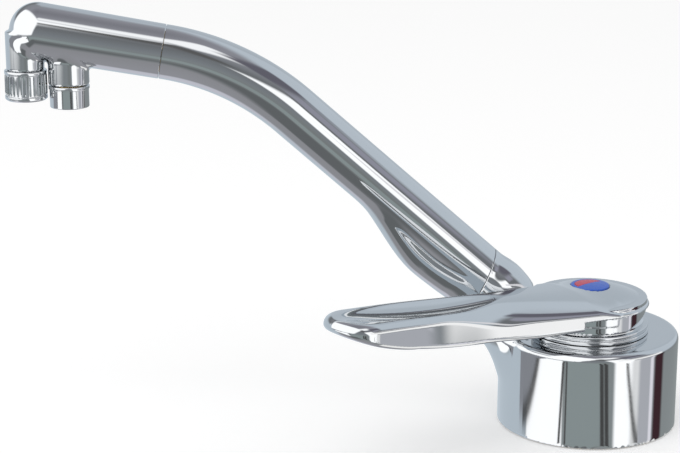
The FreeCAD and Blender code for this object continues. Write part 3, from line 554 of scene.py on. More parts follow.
# %% Drum and neck
FLARE, DRUM_ROUND, BELOW = 7.0, 2.4, -5.0
ROOM_R, ROOM_TOP, RECESS_R, RECESS_TOP = 27.5, 34.5, 34.5, 2.7
THROAT_R, THROAT_LOW, THROAT_TOP = 22.0, 20.0, 60.0
HUB_R, HUB_EDGE, SWING_GAP = 23.8, 55.3, 0.4
HUB_REACH = math.hypot(HUB_R, HUB_EDGE - PIVOT_Z) + SWING_GAP


def drum(p):
    """The drum's outer form, and the hollow that turns on the column."""
    wall = upright(p, DRUM_R, BELOW, DRUM_TOP, DRUM_ROUND)
    wall = common(wall, DRUM_GAP - p[..., 2], 0.4)
    room = upright(p, ROOM_R, BELOW, ROOM_TOP, 0.3)
    recess = upright(p, RECESS_R, BELOW, RECESS_TOP, 0.2)
    throat = upright(p, THROAT_R, THROAT_LOW, THROAT_TOP, 0.3)
    return wall, np.minimum(np.minimum(room, recess), throat)


def drum_casting(p):
    wall, hollow = drum(p)
    flared = joined(wall, spout_skin(p), FLARE)
    swing = np.linalg.norm(p - np.array([0, 0, PIVOT_Z]), axis=-1) - HUB_REACH
    body = np.minimum(wall, without(flared, swing, 0.5))
    return without(body, hollow, 0.25)


points, quads = wrap(drum_casting, (-63, -38, -1.5), (38, 38, 80), step=0.62)
drum_piece = mesh_from("drum_and_neck", points, quads)
cut_off(drum_piece, LOW_CUT, SEAM_WAY, bevel=0.2)
finished(drum_piece, "spout", "chrome", ["spout_body"])


# %% [markdown]
# ## The arm
# The arm is a drawn tube with the keel's tail brazed on. It is cut from the same
# distances as the drum's neck, so the two surfaces meet exactly across the seam.

# %% Arm
points, quads = wrap(spout_skin, (-186, -12, 40), (-30, 12, 174), step=0.6)
arm_piece = mesh_from("arm_tube", points, quads)
cut_off(arm_piece, LOW_CUT + SEAM_WAY * SEAM_GAP, -SEAM_WAY, bevel=0.2)
cut_off(arm_piece, HIGH_SEAM - HEAD_WAY * SEAM_GAP, HEAD_WAY, bevel=0.2)
finished(arm_piece, "spout", "chrome", ["spout_arm"])

# %% [markdown]
# ## The head
# The head is a short tapering tube with a domed end. Two bosses hang from it: the
# front one carries the aerator in its collar, the rear one the spray outlet.

# %% Head
HEAD_R, JET_R, NOSE_R, SPRAY_R = 11.0, 7.3, 6.8, 7.9
JET_X, SPRAY_X = HEAD_END[0] - 5.4, HEAD_END[0] + 11.1
JET_SHOULDER = HEAD_END[2] - 14.8
SPRAY_SHOULDER = HEAD_END[2] - 20.7


def head_skin(p):
    away, share = to_segment(p, HIGH_SEAM - HEAD_WAY * 6, HEAD_END)
    shell = away - (TUBE_R + (HEAD_R - TUBE_R) * share)
    jet = upright(p, JET_R, JET_SHOULDER, HEAD_END[2], 0.5, JET_X)
    nose = upright(p, NOSE_R, JET_SHOULDER - 6.2, HEAD_END[2], 0.3, JET_X)
    spray = upright(p, SPRAY_R, SPRAY_SHOULDER, HEAD_END[2] - 3, 0.6, SPRAY_X)
    bosses = np.minimum(np.minimum(jet, nose), spray)
    return joined(shell, bosses, 1.6)


points, quads = wrap(head_skin, (-231, -12.5, 138), (-160, 12.5, 174), step=0.45)
head_piece = mesh_from("head_shell", points, quads)
cut_off(head_piece, HIGH_SEAM, -HEAD_WAY, bevel=0.2)
finished(head_piece, "spout", "chrome", ["spout_head"])

# %% [markdown]
# ## The lever
# A hub of revolution caps the cartridge. An arm leaves it, widens into a paddle
# and carries a long scoop for the thumb. Towards the camera the arm's root is as
# wide as the hub and narrows like a drop; towards the neck it stays narrow, to
# swing past it. A pocket in the root shows the round skirt, and the back of the
# skirt is cut on a slant so that it can swing down as the arm lifts.

# %% Sizes of the lever
HUB_TOP, DOME_R = 57.4, 44.0
HUB_LIP, SKIRT_R, SKIRT_IN, SKIRT_FOOT, SKIRT_TOP = 49.8, 22.95, 22.1, 42.9, 53.0
CEILING, SHELL_T, BOSS_R, BOSS_FOOT = 53.4, 1.5, 8.0, 47.2
MARK_HOLE_R, MARK_LOW = 7.85, 55.65
ARM_LENGTH, ARM_HALF, PADDLE_HALF, PADDLE_START = 129.0, 9.6, 13.6, 98.0
ARM_ROOT, ARM_EVEN, ROOT_RIGHT = 5.0, HUB_R + 14.0, -6.0
ARM_TOP0, ARM_RISE = 57.5, 0.073
DROP_START, DROP_HALF, DROP_SLOPE, DROP_BLEND = 5.8, 23.1, 0.249, 8.0
UNDER_START, UNDER_LOW, UNDER_RISE, UNDER_CURVE = 36.0, 46.0, 6.9, 1.6
TIP_T, TIP_SLOPE, TIP_RISE = 4.4, 0.06, 7.5
SHOULDER_Z, SHOULDER_RISE, SIDE_LEAN, LEAN_FOOT = 52.6, 0.02, 0.16, 5.0
CROWN, FALL_CURVE, TOP_ROUND, LOW_ROUND = 0.4, 2.4, 3.6, 1.8
DISH_START, DISH_END, DISH_HALF, DISH_DEPTH = 50.0, 122.0, 10.2, 3.2
# Where along the arm one form passes into the next: from here, to here.
DOME_TO_ARM, DROP_TO_ARM, FALL_TO_FLAT, LEAN_TO_UPRIGHT = (1, 15), (70, 105), (50, 88), (80, 110)
BACK_SOFTENS, FRONT_SOFTENS, PADDLE_SOFTENS = (8, 30), (4, 16), (40, 90)


# %% The lever's outline, upper face and underside
def arm_half(s):
    return ARM_HALF + (PADDLE_HALF - ARM_HALF) * smooth_share(s, ARM_EVEN, PADDLE_START)


def front_half(s):
    """On the side away from the neck the arm widens to the hub, like a drop."""
    drop_line = DROP_HALF - DROP_SLOPE * (s - DROP_START)
    half = arm_half(s)
    wide = 0.5 * (drop_line + half + np.sqrt((drop_line - half) ** 2 + DROP_BLEND))
    return half + (wide - half) * (1 - smooth_share(s, *DROP_TO_ARM))


def arm_plane(s):
    """Height of the arm's upper face along its middle."""
    return ARM_TOP0 + ARM_RISE * s


def underside(s):
    past = np.clip((s - UNDER_START) / (PADDLE_START - UNDER_START), 0, 1)
    low = UNDER_LOW + UNDER_RISE * past ** UNDER_CURVE
    paddle = np.maximum(s - PADDLE_START, 0)
    tip = np.minimum(paddle / (ARM_LENGTH - PADDLE_START), 1)
    return np.minimum(low + paddle * TIP_SLOPE + TIP_RISE * tip ** UNDER_CURVE, arm_plane(s) - TIP_T)


def lever_top(s, y):
    """The hub's dome, which flows into the arm's rounded upper face."""
    dome = HUB_TOP - (s * s + y * y) / (2 * DOME_R)
    plane = arm_plane(s)
    back = np.minimum(np.abs(y) / arm_half(s), 1.3)
    front = np.clip(y / front_half(s), 0, 1.15)
    edge_drop = plane - SHOULDER_Z - SHOULDER_RISE * s
    fall = (edge_drop + (CROWN - edge_drop) * smooth_share(s, *FALL_TO_FLAT)) * front ** FALL_CURVE
    arm = plane - np.where(y > 0, fall, CROWN * back ** 2)
    beside = np.where(y > 0, 0, smooth_share(-y - arm_half(s), -1, 9))
    return dome + (arm - dome) * smooth_share(s, *DOME_TO_ARM) * (1 - beside)


# %% Arm and scoop
def arm_prism(s, y, z):
    """The arm below its upper face: its front side leans, its back stands upright."""
    low = underside(s)
    tip = ARM_LENGTH - PADDLE_HALF
    lean = SIDE_LEAN * (z - low - LEAN_FOOT) * (1 - smooth_share(s, *LEAN_TO_UPRIGHT))
    half = np.where(y > 0, front_half(s) - lean, arm_half(s))
    side = np.where(s > tip, np.hypot(s - tip, y) - PADDLE_HALF, np.abs(y) - half)
    steepness = np.where(y > 0, math.hypot(1, DROP_SLOPE), 1.0)
    under_side = common(side / steepness, low - z, np.minimum(LOW_ROUND, TIP_T * 0.4))
    return common(under_side, ARM_ROOT - s, 1.0)


def scoop(s, y, z):
    """A slice of a long barrel that lies along the paddle's top."""
    barrel = (DISH_HALF ** 2 + DISH_DEPTH ** 2) / (2 * DISH_DEPTH)
    half = (DISH_END - DISH_START) / 2
    long_r = (half ** 2 + DISH_DEPTH ** 2) / (2 * DISH_DEPTH)
    middle = (DISH_END + DISH_START) / 2
    tilt = math.atan(ARM_RISE)
    ds, dz = s - middle, z - (arm_plane(middle) - CROWN) - (barrel - DISH_DEPTH)
    along = ds * math.cos(tilt) + dz * math.sin(tilt)
    off = np.hypot(dz * math.cos(tilt) - ds * math.sin(tilt), y)
    return np.hypot(along, off - (barrel - long_r)) - long_r


# %% The lever as one shell
def lever_inside(side, z):
    """The hollow over the cartridge, with a boss hanging into it, and the mark's seat."""
    ceiling = np.minimum(CEILING, HUB_TOP - side ** 2 / (2 * DOME_R) - SHELL_T)
    boss = common(side - BOSS_R, BOSS_FOOT - z, 0.3)
    hollow = without(common(side - SKIRT_IN, z - ceiling, 0.8), boss, 0.3)
    return hollow, common(side - MARK_HOLE_R, MARK_LOW - z, 0.1)


def lever_skin(p):
    s = p[..., 0] * LEVER_WAY.x + p[..., 1] * LEVER_WAY.y
    y = p[..., 1] * LEVER_WAY.x - p[..., 0] * LEVER_WAY.y
    z = p[..., 2]
    side = np.hypot(s, y)
    hub = common(side - HUB_R, HUB_LIP - z, 0.3)
    body = joined(hub, arm_prism(s, y, z), 1.5)
    back_edge = 0.7 + (TOP_ROUND - 0.7) * smooth_share(s, *BACK_SOFTENS)
    front_edge = 0.8 + 0.7 * smooth_share(s, *FRONT_SOFTENS) + 1.8 * smooth_share(s, *PADDLE_SOFTENS)
    body = common(body, z - lever_top(s, y), np.where(y > 0, front_edge, back_edge))
    skirt = common(side - SKIRT_R, np.maximum(SKIRT_FOOT - z, z - SKIRT_TOP), 0.3)
    body = np.minimum(body, skirt)
    beside_root = np.maximum(ROOT_RIGHT - p[..., 0], -y)
    pocket = np.maximum(np.maximum(SKIRT_R - side, z - HUB_LIP), beside_root)
    body = without(body, pocket, 0.4)
    body = without(body, scoop(s, y, z), 0.7)
    body = np.maximum(body, -np.maximum(side - HUB_R - 1, z - SKIRT_FOOT))
    hollow, seat = lever_inside(side, z)
    body = without(without(body, hollow, 0.25), seat, 0.1)
    slant = s * math.sin(LIFT) + (z - PIVOT_Z) * math.cos(LIFT) - (SKIRT_FOOT - PIVOT_Z)
    return without(body, np.maximum(slant, s), 0.3)


reach = LEVER_WAY * (ARM_LENGTH + 2)
points, quads = wrap(lever_skin, (reach.x - 14, reach.y - 12, 42), (25, 25, 69), step=0.42)
lever_piece = mesh_from("lever_shell", points, quads)
finished(lever_piece, "lever", "chrome", ["lever"])

# %% [markdown]
# ## The cover ring
# A ring screws over the column's neck and hides the cartridge's nut. It has a low
# band, a groove and an upper band, and a shallow cone runs in under the lever.

# %% Cover ring
COVER_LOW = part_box("cover_ring")[0].z / MM
RING_FOOT, RING_TOP, RING_IN, RING_R = DRUM_TOP + 0.2, 42.3, 23.3, 23.9
GROOVE_R, UPPER_R, NECK_R, NECK_WALL = 23.35, 23.7, 21.72, 0.15
CONE_FOOT, CONE_IN = COVER_LOW + 3.46, 13.2
cover = turned_piece("cover_ring_turned", [
    (RING_IN, RING_FOOT, 0.05), (RING_R, RING_FOOT, 0.15), (RING_R, 40.4, 0.4),
    (GROOVE_R, 40.55, 0.1), (GROOVE_R, 40.9, 0.1), (UPPER_R, 41.05, 0.1), (UPPER_R, RING_TOP, 0.5),
    (NECK_R + NECK_WALL, RING_TOP, 0.05), (NECK_R + NECK_WALL, COVER_LOW + 3.5, 0.05),
    (20.9, COVER_LOW + 4.4, 0.4), (CONE_IN, COVER_LOW + 6.05, 0.3), (CONE_IN, COVER_LOW + 5.05, 0),
    (20.2, CONE_FOOT, 0), (NECK_R, CONE_FOOT, 0), (NECK_R, RING_TOP - 1.2, 0),
    (RING_IN, RING_TOP - 1.2, 0)], sides=192)
finished(cover, "base", "chrome", ["cover_ring"])

# %% [markdown]
# ## Geometry Nodes for what repeats
# The collar's ribs, the aerator's honeycomb and the spray's nozzles all repeat. A
# node tree places one small shape many times, and its inputs keep their names and
# sizes, so the count or the pitch can be changed later. The result is turned into
# a plain mesh at once, because an exported part can't carry instances.

# %% Helpers for Geometry Nodes
def new_tree(name, inputs):
    """A tree with named inputs; gives it with the sockets it is given and its output node."""
    tree = bpy.data.node_groups.new(name, "GeometryNodeTree")
    tree.interface.new_socket("Geometry", in_out="INPUT", socket_type="NodeSocketGeometry")
    for label, value in inputs.items():
        kind = "NodeSocketInt" if isinstance(value, int) else "NodeSocketFloat"
        tree.interface.new_socket(label, in_out="INPUT", socket_type=kind).default_value = value
    tree.interface.new_socket("Geometry", in_out="OUTPUT", socket_type="NodeSocketGeometry")
    return tree, tree.nodes.new("NodeGroupInput").outputs, tree.nodes.new("NodeGroupOutput")


def geo(tree, kind, sockets=None):
    """First output of a new geometry node."""
    return add(tree, "GeometryNode" + kind, sockets).outputs[0]


def together(tree, parts):
    """The parts joined to one geometry."""
    every = add(tree, "GeometryNodeJoinGeometry")
    for part in parts:
        tree.links.new(part, every.inputs[0])
    return every.outputs[0]


def placed(tree, shape, x, y, z):
    spot = add(tree, "ShaderNodeCombineXYZ", {"X": x, "Y": y, "Z": z}).outputs[0]
    return geo(tree, "Transform", {"Geometry": shape, "Translation": spot})


def close_tree(tree, out, parts, finish):
    """Joins the parts, makes them real and gives them their finish."""
    real = geo(tree, "RealizeInstances", {"Geometry": together(tree, parts)})
    coat = geo(tree, "SetMaterial", {"Geometry": real, "Material": finish})
    tree.links.new(coat, out.inputs[0])


def grown(piece, tree, values):
    """The piece as the tree makes it, as a plain mesh with its faces outwards."""
    modifier = piece.modifiers.new(tree.name, "NODES")
    modifier.node_group = tree
    for socket in tree.interface.items_tree:
        if socket.in_out == "INPUT" and socket.name in values:
            modifier[socket.identifier] = values[socket.name]
    shape = piece.evaluated_get(bpy.context.evaluated_depsgraph_get())
    mesh = bpy.data.meshes.new_from_object(shape)
    piece.modifiers.remove(modifier)
    piece.data = mesh
    return reshape(piece, lambda bm: bmesh.ops.recalc_face_normals(bm, faces=bm.faces))


# %% [markdown]
# ## The aerator's collar
# The collar is turned from a bar, with a rim at each end. Between the rims stand
# short round-ended ribs, so that wet fingers can unscrew it. One rib is a ball
# pulled out along its length, and the tree stands thirty of them in a ring.

# %% Collar with its ribs
COLLAR_TOP = JET_SHOULDER - SEAM_GAP
COLLAR_FOOT = COLLAR_TOP - 11.6
RIM_R, FLUTE_R, THREAD_R = 8.2, 7.75, 6.95
collar = turned_piece("aerator_collar_ribbed", [
    (THREAD_R, COLLAR_TOP, 0.1), (RIM_R, COLLAR_TOP, 0.4), (RIM_R, COLLAR_TOP - 1.3, 0.2),
    (FLUTE_R, COLLAR_TOP - 1.5, 0.15), (FLUTE_R, COLLAR_FOOT + 1.9, 0.15),
    (RIM_R, COLLAR_FOOT + 1.7, 0.2), (RIM_R, COLLAR_FOOT + 0.6, 0.25),
    (7.6, COLLAR_FOOT, 0.25), (5.75, COLLAR_FOOT, 0.2), (5.75, COLLAR_FOOT + 0.9, 0.1),
    (THREAD_R, COLLAR_FOOT + 0.9, 0)], x=JET_X, sides=96)
ribs, given, out = new_tree("collar_ribs", {
    "Ribs": 12, "Ring Radius": 0.01, "Rib Radius": 0.001, "Rib Half Length": 0.002,
    "Centre X": 0.0, "Centre Height": 0.0})
ball = geo(ribs, "MeshUVSphere", {"Segments": 10, "Rings": 6, "Radius": given["Rib Radius"]})
height = add(ribs, "ShaderNodeSeparateXYZ", {"Vector": geo(ribs, "InputPosition")}).outputs["Z"]
pull = maths(ribs, "MULTIPLY", maths(ribs, "SIGN", height), given["Rib Half Length"])
pulled = add(ribs, "ShaderNodeCombineXYZ", {"Z": pull}).outputs[0]
rib = geo(ribs, "SetPosition", {"Geometry": ball, "Offset": pulled})
circle = geo(ribs, "MeshCircle", {"Vertices": given["Ribs"], "Radius": given["Ring Radius"]})
stood = geo(ribs, "InstanceOnPoints", {"Points": circle, "Instance": rib})
all_ribs = placed(ribs, stood, given["Centre X"], 0.0, given["Centre Height"])
close_tree(ribs, out, [given["Geometry"], all_ribs], FINISHES["chrome"])
grown(collar, ribs, {
    "Ribs": 30, "Ring Radius": 7.78 * MM, "Rib Radius": 0.42 * MM, "Rib Half Length": 3.5 * MM,
    "Centre X": JET_X * MM, "Centre Height": (COLLAR_TOP + COLLAR_FOOT + 0.4) / 2 * MM})
finished(collar, "spout", "chrome", ["aerator_collar"])

# %% [markdown]
# ## The aerator's honeycomb
# Water leaves the aerator through a moulded honeycomb, which is seen from below.
# Each cell is a hexagon with a thin wall, and two square grids of points, one set
# between the other, make the pattern that bees use.

# %% Insert with its honeycomb
INSERT_LOW = COLLAR_FOOT + 0.9
insert = turned_piece("aerator_insert_comb", [
    (0, INSERT_LOW + 2.4, 0), (5.45, INSERT_LOW + 2.4, 0.3), (5.45, INSERT_LOW, 0.1),
    (6.85, INSERT_LOW, 0.1), (6.85, INSERT_LOW + 3.5, 0.2), (0, INSERT_LOW + 3.5, 0)], x=JET_X, sides=64)
comb, given, out = new_tree("honeycomb", {
    "Reach": 0.005, "Pitch": 0.001, "Wall": 0.0002, "Depth": 0.001, "Centre X": 0.0, "Height": 0.0})
pitch, wall = given["Pitch"], given["Wall"]
row = maths(comb, "MULTIPLY", pitch, math.sqrt(3))
grid = geo(comb, "MeshGrid", {
    "Size X": maths(comb, "MULTIPLY", pitch, 8.0), "Size Y": maths(comb, "MULTIPLY", row, 6.0),
    "Vertices X": 9, "Vertices Y": 7})
half_pitch, half_row = (maths(comb, "MULTIPLY", size, 0.5) for size in (pitch, row))
both = together(comb, [grid, placed(comb, grid, half_pitch, half_row, 0.0)])
length = add(comb, "ShaderNodeVectorMath", {0: geo(comb, "InputPosition")}, operation="LENGTH")
beyond = maths(comb, "GREATER_THAN", length.outputs["Value"], given["Reach"])
spots = geo(comb, "DeleteGeometry", {"Geometry": both, "Selection": beyond})
clear = maths(comb, "SUBTRACT", pitch, maths(comb, "MULTIPLY", wall, 1.06))
across = maths(comb, "DIVIDE", clear, math.sqrt(3))
outline = geo(comb, "CurvePrimitiveCircle", {"Resolution": 6, "Radius": across})
section = geo(comb, "CurvePrimitiveQuadrilateral", {"Width": wall, "Height": given["Depth"]})
cell = geo(comb, "CurveToMesh", {"Curve": outline, "Profile Curve": section})
turned = geo(comb, "Transform", {"Geometry": cell, "Rotation": (0, 0, math.pi / 6)})
cells = geo(comb, "InstanceOnPoints", {"Points": spots, "Instance": turned})
set_in = placed(comb, cells, given["Centre X"], 0.0, given["Height"])
close_tree(comb, out, [given["Geometry"], set_in], FINISHES["white_plastic"])
grown(insert, comb, {"Reach": 4.7 * MM, "Pitch": 1.5 * MM, "Wall": 0.24 * MM, "Depth": 1.8 * MM,
                     "Centre X": JET_X * MM, "Height": (INSERT_LOW + 1.2) * MM})
finished(insert, "spout", "white_plastic", ["aerator_insert"])

# %% [markdown]
# ## The spray outlet
# The second outlet has a plain sleeve that pulls down. Its small step near the top
# gives fingers a hold. The plate inside carries rubbery nozzles in rings.

# %% Sleeve and nozzles
SLEEVE_TOP = SPRAY_SHOULDER - 0.3
SLEEVE_FOOT = SLEEVE_TOP - 8.6
SLEEVE_R, SLEEVE_IN, STEM_R = 7.6, 6.75, 5.65
sleeve = turned_piece("spray_sleeve_turned", [
    (STEM_R, SLEEVE_TOP, 0.1), (SPRAY_R, SLEEVE_TOP, 0.35), (SPRAY_R, SLEEVE_TOP - 1.4, 0.12),
    (SLEEVE_R, SLEEVE_TOP - 1.4, 0.12), (SLEEVE_R, SLEEVE_FOOT, 0.35), (SLEEVE_IN, SLEEVE_FOOT, 0.15),
    (SLEEVE_IN, SLEEVE_TOP - 0.9, 0.1), (STEM_R, SLEEVE_TOP - 0.9, 0)], x=SPRAY_X, sides=96)
finished(sleeve, "spray_selector", "chrome", ["spray_sleeve"])

plate = turned_piece("spray_plate_nozzles", [
    (0, SLEEVE_FOOT + 0.6, 0), (6.6, SLEEVE_FOOT + 0.6, 0.15), (6.6, SLEEVE_FOOT + 1.6, 0.1),
    (0, SLEEVE_FOOT + 1.6, 0)], x=SPRAY_X, sides=64)
shower, given, out = new_tree("shower_nozzles", {
    "Pitch": 0.002, "Nozzle Radius": 0.0005, "Wall": 0.0002, "Length": 0.001, "Centre X": 0.0, "Height": 0.0})
rings_of_points = [geo(shower, "Points")]
for ring in (1, 2):
    circle = geo(shower, "MeshCircle", {
        "Vertices": 6 * ring, "Radius": maths(shower, "MULTIPLY", given["Pitch"], ring)})
    rings_of_points.append(geo(shower, "MeshToPoints", {"Mesh": circle}))
outline = geo(shower, "CurvePrimitiveCircle", {"Resolution": 12, "Radius": given["Nozzle Radius"]})
section = geo(shower, "CurvePrimitiveQuadrilateral", {
    "Width": given["Wall"], "Height": given["Length"]})
nozzle = geo(shower, "CurveToMesh", {"Curve": outline, "Profile Curve": section})
stood = geo(shower, "InstanceOnPoints", {"Points": together(shower, rings_of_points), "Instance": nozzle})
set_in = placed(shower, stood, given["Centre X"], 0.0, given["Height"])
close_tree(shower, out, [given["Geometry"], set_in], FINISHES["white_plastic"])
grown(plate, shower, {"Pitch": 2.05 * MM, "Nozzle Radius": 0.6 * MM, "Wall": 0.3 * MM, "Length": 0.9 * MM,
                      "Centre X": SPRAY_X * MM, "Height": (SLEEVE_FOOT + 0.4) * MM})
finished(plate, "spray_selector", "white_plastic", ["spray_plate"])

# %% [markdown]
# ## The mark for hot and cold
# A domed disc is set flush in the hub's top. It is blue with a red half-disc let
# into it, and a fine gap shows where the two colours meet.

# %% Two-coloured mark
MARK_R, MARK_EDGE, MARK_CROWN = 7.75, HUB_TOP - 0.3, HUB_TOP + 0.3
mark_sag = MARK_CROWN - MARK_EDGE
MARK_DOME = (MARK_R ** 2 + mark_sag ** 2) / (2 * mark_sag)
RED_R, RED_LOW = 6.2, HUB_TOP - 0.9


def mark(p):
    dome = np.sqrt(p[..., 0] ** 2 + p[..., 1] ** 2 + (p[..., 2] - MARK_CROWN + MARK_DOME) ** 2) - MARK_DOME
    side = np.hypot(p[..., 0], p[..., 1]) - MARK_R
    return common(common(side, dome, 0.25), MARK_LOW - p[..., 2], 0.1)


def red_room(p, grow):
    y = p[..., 0] * LEVER_WAY.y - p[..., 1] * LEVER_WAY.x
    side = np.hypot(p[..., 0], p[..., 1]) - RED_R
    return common(common(side, 0.2 - y, 0.2), RED_LOW - p[..., 2], 0.05) - grow


mark_box = (-8.2, -8.2, MARK_LOW - 0.5), (8.2, 8.2, MARK_CROWN + 0.5)
points, quads = wrap(lambda p: without(mark(p), red_room(p, 0.03), 0.08), *mark_box, step=0.2)
finished(mesh_from("mark_blue", points, quads), "lever", "blue_enamel", ["badge_blue"])
points, quads = wrap(lambda p: common(mark(p), red_room(p, -0.03), 0.08), *mark_box, step=0.2)
finished(mesh_from("mark_red", points, quads), "lever", "red_enamel", ["badge_red"])

# %% [markdown]
# ## The studio
# A polished object is a picture of its surroundings. The camera sees white, and
# the metal sees a tent of grey cloth with cards in it: bright panels left and
# right of the camera, thin dark gaps at their edges, a darker floor in front, and
# pale blue daylight from behind. Every card is a soft-edged rectangle of the sky,
# given by its azimuth, its height and its tilt in degrees.

# %% A card as a node group
card, given, out = new_group("studio_card", {
    "Direction": (0.0, 0.0, 1.0), "Centre": (0.0, -1.0, 0.0), "Across": (1.0, 0.0, 0.0),
    "Up": (0.0, 0.0, 1.0), "Half Width": 10.0, "Half Height": 10.0, "Edge": 4.0}, ["Mask"])


def dot(tree, a, b):
    return add(tree, "ShaderNodeVectorMath", {0: a, 1: b}, operation="DOT_PRODUCT").outputs["Value"]


def within(tree, sideways, ahead, half, edge):
    """One inside the angle, zero outside it, and a soft edge between."""
    angle = maths(tree, "DEGREES", maths(tree, "ARCTAN2", maths(tree, "ABSOLUTE", sideways), ahead))
    over = maths(tree, "DIVIDE", maths(tree, "SUBTRACT", angle, half), edge)
    return add(tree, "ShaderNodeMapRange", {
        "Value": over, "From Min": -0.5, "From Max": 0.5, "To Min": 1.0, "To Max": 0.0},
        interpolation_type="SMOOTHSTEP").outputs[0]


ahead = dot(card, given["Direction"], given["Centre"])
shares = [within(card, dot(card, given["Direction"], given[side]), ahead,
                 given[half], given["Edge"])
          for side, half in (("Across", "Half Width"), ("Up", "Half Height"))]
card.links.new(maths(card, "MULTIPLY", *shares), out.inputs["Mask"])


def card_frame(azimuth, height, tilt):
    """Centre, across and up of a card; azimuth 0 is the camera's side, 90 is +X."""
    azimuth, height, tilt = (math.radians(angle) for angle in (azimuth, height, tilt))
    across = Vector((math.cos(azimuth), math.sin(azimuth), 0))
    level = Vector((math.sin(azimuth), -math.cos(azimuth), 0))
    centre = level * math.cos(height) + Vector((0, 0, math.sin(height)))
    up = centre.cross(across)
    return (centre, across * math.cos(tilt) + up * math.sin(tilt),
            up * math.cos(tilt) - across * math.sin(tilt))


# %% Cloth and cards
CLOTH = [(-90, 0.40, 0.40, 0.43), (-50, 0.36, 0.36, 0.38), (-25, 0.33, 0.36, 0.36), (0, 0.26, 0.28, 0.30),
         (25, 0.20, 0.21, 0.22), (45, 0.33, 0.34, 0.37), (65, 0.36, 0.36, 0.40), (90, 0.25, 0.25, 0.28)]
WHITE, PAPER, FILL = (1.5, 1.5, 1.5), (1.0, 1.0, 1.0), (0.8, 0.8, 0.8)
CARDS = [
    (-142, -18, 0, 46, 36, 14, (0.62, 0.7, 0.77)),  # back left
    (125, 30, 0, 40, 32, 16, (0.66, 0.73, 0.80)),  # back right
    (166, 18, 0, 17, 28, 9, (0.56, 0.62, 0.68)),  # lever top
    (-152, -60, 0, 14, 12, 10, (0.72, 0.72, 0.8)),  # low lavender
    (-26, -38, 35, 26, 9, 8, (0.165, 0.175, 0.18)),  # dark floor
    (2, -20, 40, 14, 8, 8, (0.25, 0.27, 0.27)),  # dark front
    (-13, -20, 0, 21, 5, 4, (0.34, 0.39, 0.39)),  # drum middle
    (-66, -26, 0, 24, 11, 3, WHITE),  # left panel
    (-62, 32, 0, 50, 42, 8, WHITE),  # tall left panel
    (-84, -16.3, 5, 20, 3.9, 1, (0.32, 0.33, 0.36)),  # grey left
    (-85, -20.1, 5, 13, 0.35, 0.4, (0.08, 0.08, 0.08)),  # left line
    (-42, -20.4, 36, 4.5, 0.8, 0.8, (0.08, 0.08, 0.08)),  # line c
    (-35.5, -20.4, 90, 3.5, 0.9, 0.8, (0.1, 0.1, 0.1)),  # line d
    (34, -2, 22, 14, 26, 5, WHITE),  # right panel
    (10.5, -20.4, -30, 5.5, 1.1, 0.8, (0.08, 0.08, 0.08)),  # line a
    (16.5, -20.4, -30, 5.5, 1.1, 0.8, (0.08, 0.08, 0.08)),  # line b
    (58, -19, 0, 8, 9, 6, (1, 1, 1)),  # right fade
    (73, -18, 0, 12, 9, 6, (0.55, 0.56, 0.6)),  # right grey
    (51, -20.45, -8, 10, 0.35, 0.4, (0.08, 0.08, 0.08)),  # right line
    (81, -18, 0, 2.5, 8, 3, (1, 0.98, 1.05)),  # right streak
    (94, -18, 0, 8, 9, 6, (0.06, 0.028, 0.035)),  # maroon
    (28, 55, 15, 12, 10, 6, (1.35, 1.35, 1.35)),  # upper panel
    (10, 33, 20, 4, 10, 5, (0.14, 0.14, 0.14)),  # dark wedge
    (62, 48, 0, 16, 9, 8, (0.17, 0.165, 0.2)),  # dark upper
    (55, 32, 15, 10, 5, 5, (0.38, 0.38, 0.45)),  # lavender
    (97, -44, 0, 22, 17, 7, (1.2, 1.18, 1.16)),  # low right
    (63, 2, 0, 33, 8, 4, (1.3, 1.28, 1.26)),  # lever side white
    (63, 17, 0, 33, 2, 2, (1.0, 0.98, 1.0)),  # lever side line
]
world = bpy.data.worlds.new("studio")
bpy.context.scene.world = world
world.use_nodes = True
sky = world.node_tree
direction = add(sky, "ShaderNodeTexCoord").outputs["Generated"]
height = add(sky, "ShaderNodeSeparateXYZ", {"Vector": direction}).outputs["Z"]
level = maths(sky, "DEGREES", maths(sky, "ARCSINE", height))
share = add(sky, "ShaderNodeMapRange", {"Value": level, "From Min": -90.0, "From Max": 90.0}).outputs[0]
cloth = add(sky, "ShaderNodeValToRGB", {"Fac": share})
while len(cloth.color_ramp.elements) < len(CLOTH):
    cloth.color_ramp.elements.new(0.5)
for stop, (degrees, *tone) in zip(cloth.color_ramp.elements, CLOTH):
    stop.position = (degrees + 90) / 180
    stop.color = (*tone, 1)

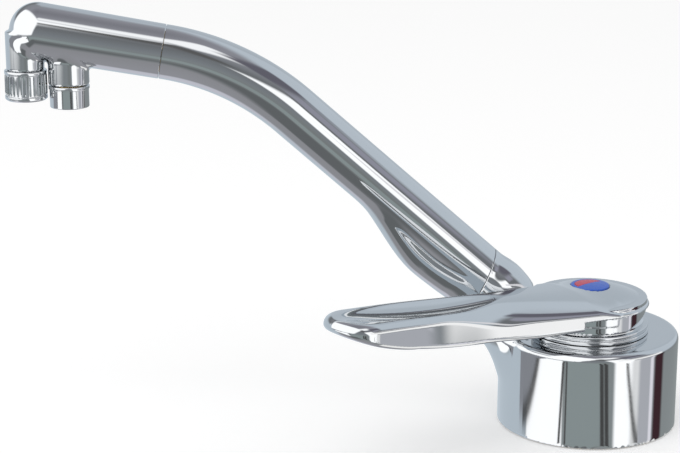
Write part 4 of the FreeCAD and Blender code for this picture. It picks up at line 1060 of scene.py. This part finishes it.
tent = cloth.outputs["Color"]
for azimuth, height, tilt, half_width, half_height, edge, tone in CARDS:
    centre, across, up = card_frame(azimuth, height, tilt)
    mask = add(sky, "ShaderNodeGroup", {
        "Direction": direction, "Centre": centre, "Across": across, "Up": up,
        "Half Width": half_width, "Half Height": half_height, "Edge": edge}, node_tree=card)
    tent = laid_over(sky, mask.outputs["Mask"], tent, tone)
rays = add(sky, "ShaderNodeLightPath").outputs
seen = laid_over(sky, rays["Is Glossy Ray"], FILL, tent)
plain = maths(sky, "ADD", rays["Is Camera Ray"], rays["Is Transmission Ray"])
feed(sky, sky.nodes["Background"], {"Color": laid_over(sky, plain, seen, PAPER)})
print(len(CARDS), "cards in the tent")

# %% [markdown]
# The floor is a pale board. It is painted a little brighter for the camera's own
# rays, so that it reads as white paper and still takes the tap's soft shadow. The
# metal doesn't see it: in the photograph the panels run down to the drum's foot.

# %% Floor
FLOOR_GLOW = 0.2
bpy.ops.mesh.primitive_plane_add(size=6)
floor = bpy.context.object
floor.name = "studio_floor"
floor.visible_glossy = False
paint = bpy.data.materials.new("pale_floor")
paint.use_nodes = True
board = paint.node_tree
rays = add(board, "ShaderNodeLightPath").outputs
seen = maths(board, "ADD", maths(board, "ADD", rays["Is Camera Ray"], rays["Is Glossy Ray"]),
             rays["Is Transmission Ray"])
feed(board, board.nodes["Principled BSDF"], {
    "Base Color": (0.9, 0.9, 0.9, 1), "Roughness": 0.6, "Specular IOR Level": 0.0,
    "Emission Color": (1, 1, 1, 1), "Emission Strength": maths(board, "MULTIPLY", seen, FLOOR_GLOW)})
floor.data.materials.append(paint)

# %% Key light
key = bpy.data.lights.new("soft_key", "AREA")
key.size = 0.9
key.energy = 4.0
lamp = bpy.data.objects.new("soft_key", key)
bpy.context.scene.collection.objects.link(lamp)
lamp.location = (-0.5, -0.7, 1.3)
lamp.rotation_euler = Vector((-0.4, -0.7, 1.2)).to_track_quat("Z", "Y").to_euler()
lamp.visible_glossy = False

# %% [markdown]
# ## The camera
# The camera stands a little over the tap and looks down about fifteen degrees.
# Its place comes from the ellipses of the drum, the ring and the hub.

# %% Camera
CAMERA_PLACE, LOOKS_DOWN, LOOKS_RIGHT = (-131.5, -745.9, 286.4), 15.289, 2.38
cam = bpy.data.cameras.new("camera")
cam.lens = 103.4
cam.sensor_width = 36.0
camera = bpy.data.objects.new("camera", cam)
bpy.context.scene.collection.objects.link(camera)
camera.location = Vector(CAMERA_PLACE) * MM
camera.rotation_euler = (math.radians(90 - LOOKS_DOWN), 0, math.radians(-LOOKS_RIGHT))
bpy.context.scene.camera = camera
bpy.context.scene.view_settings.view_transform = "Standard"
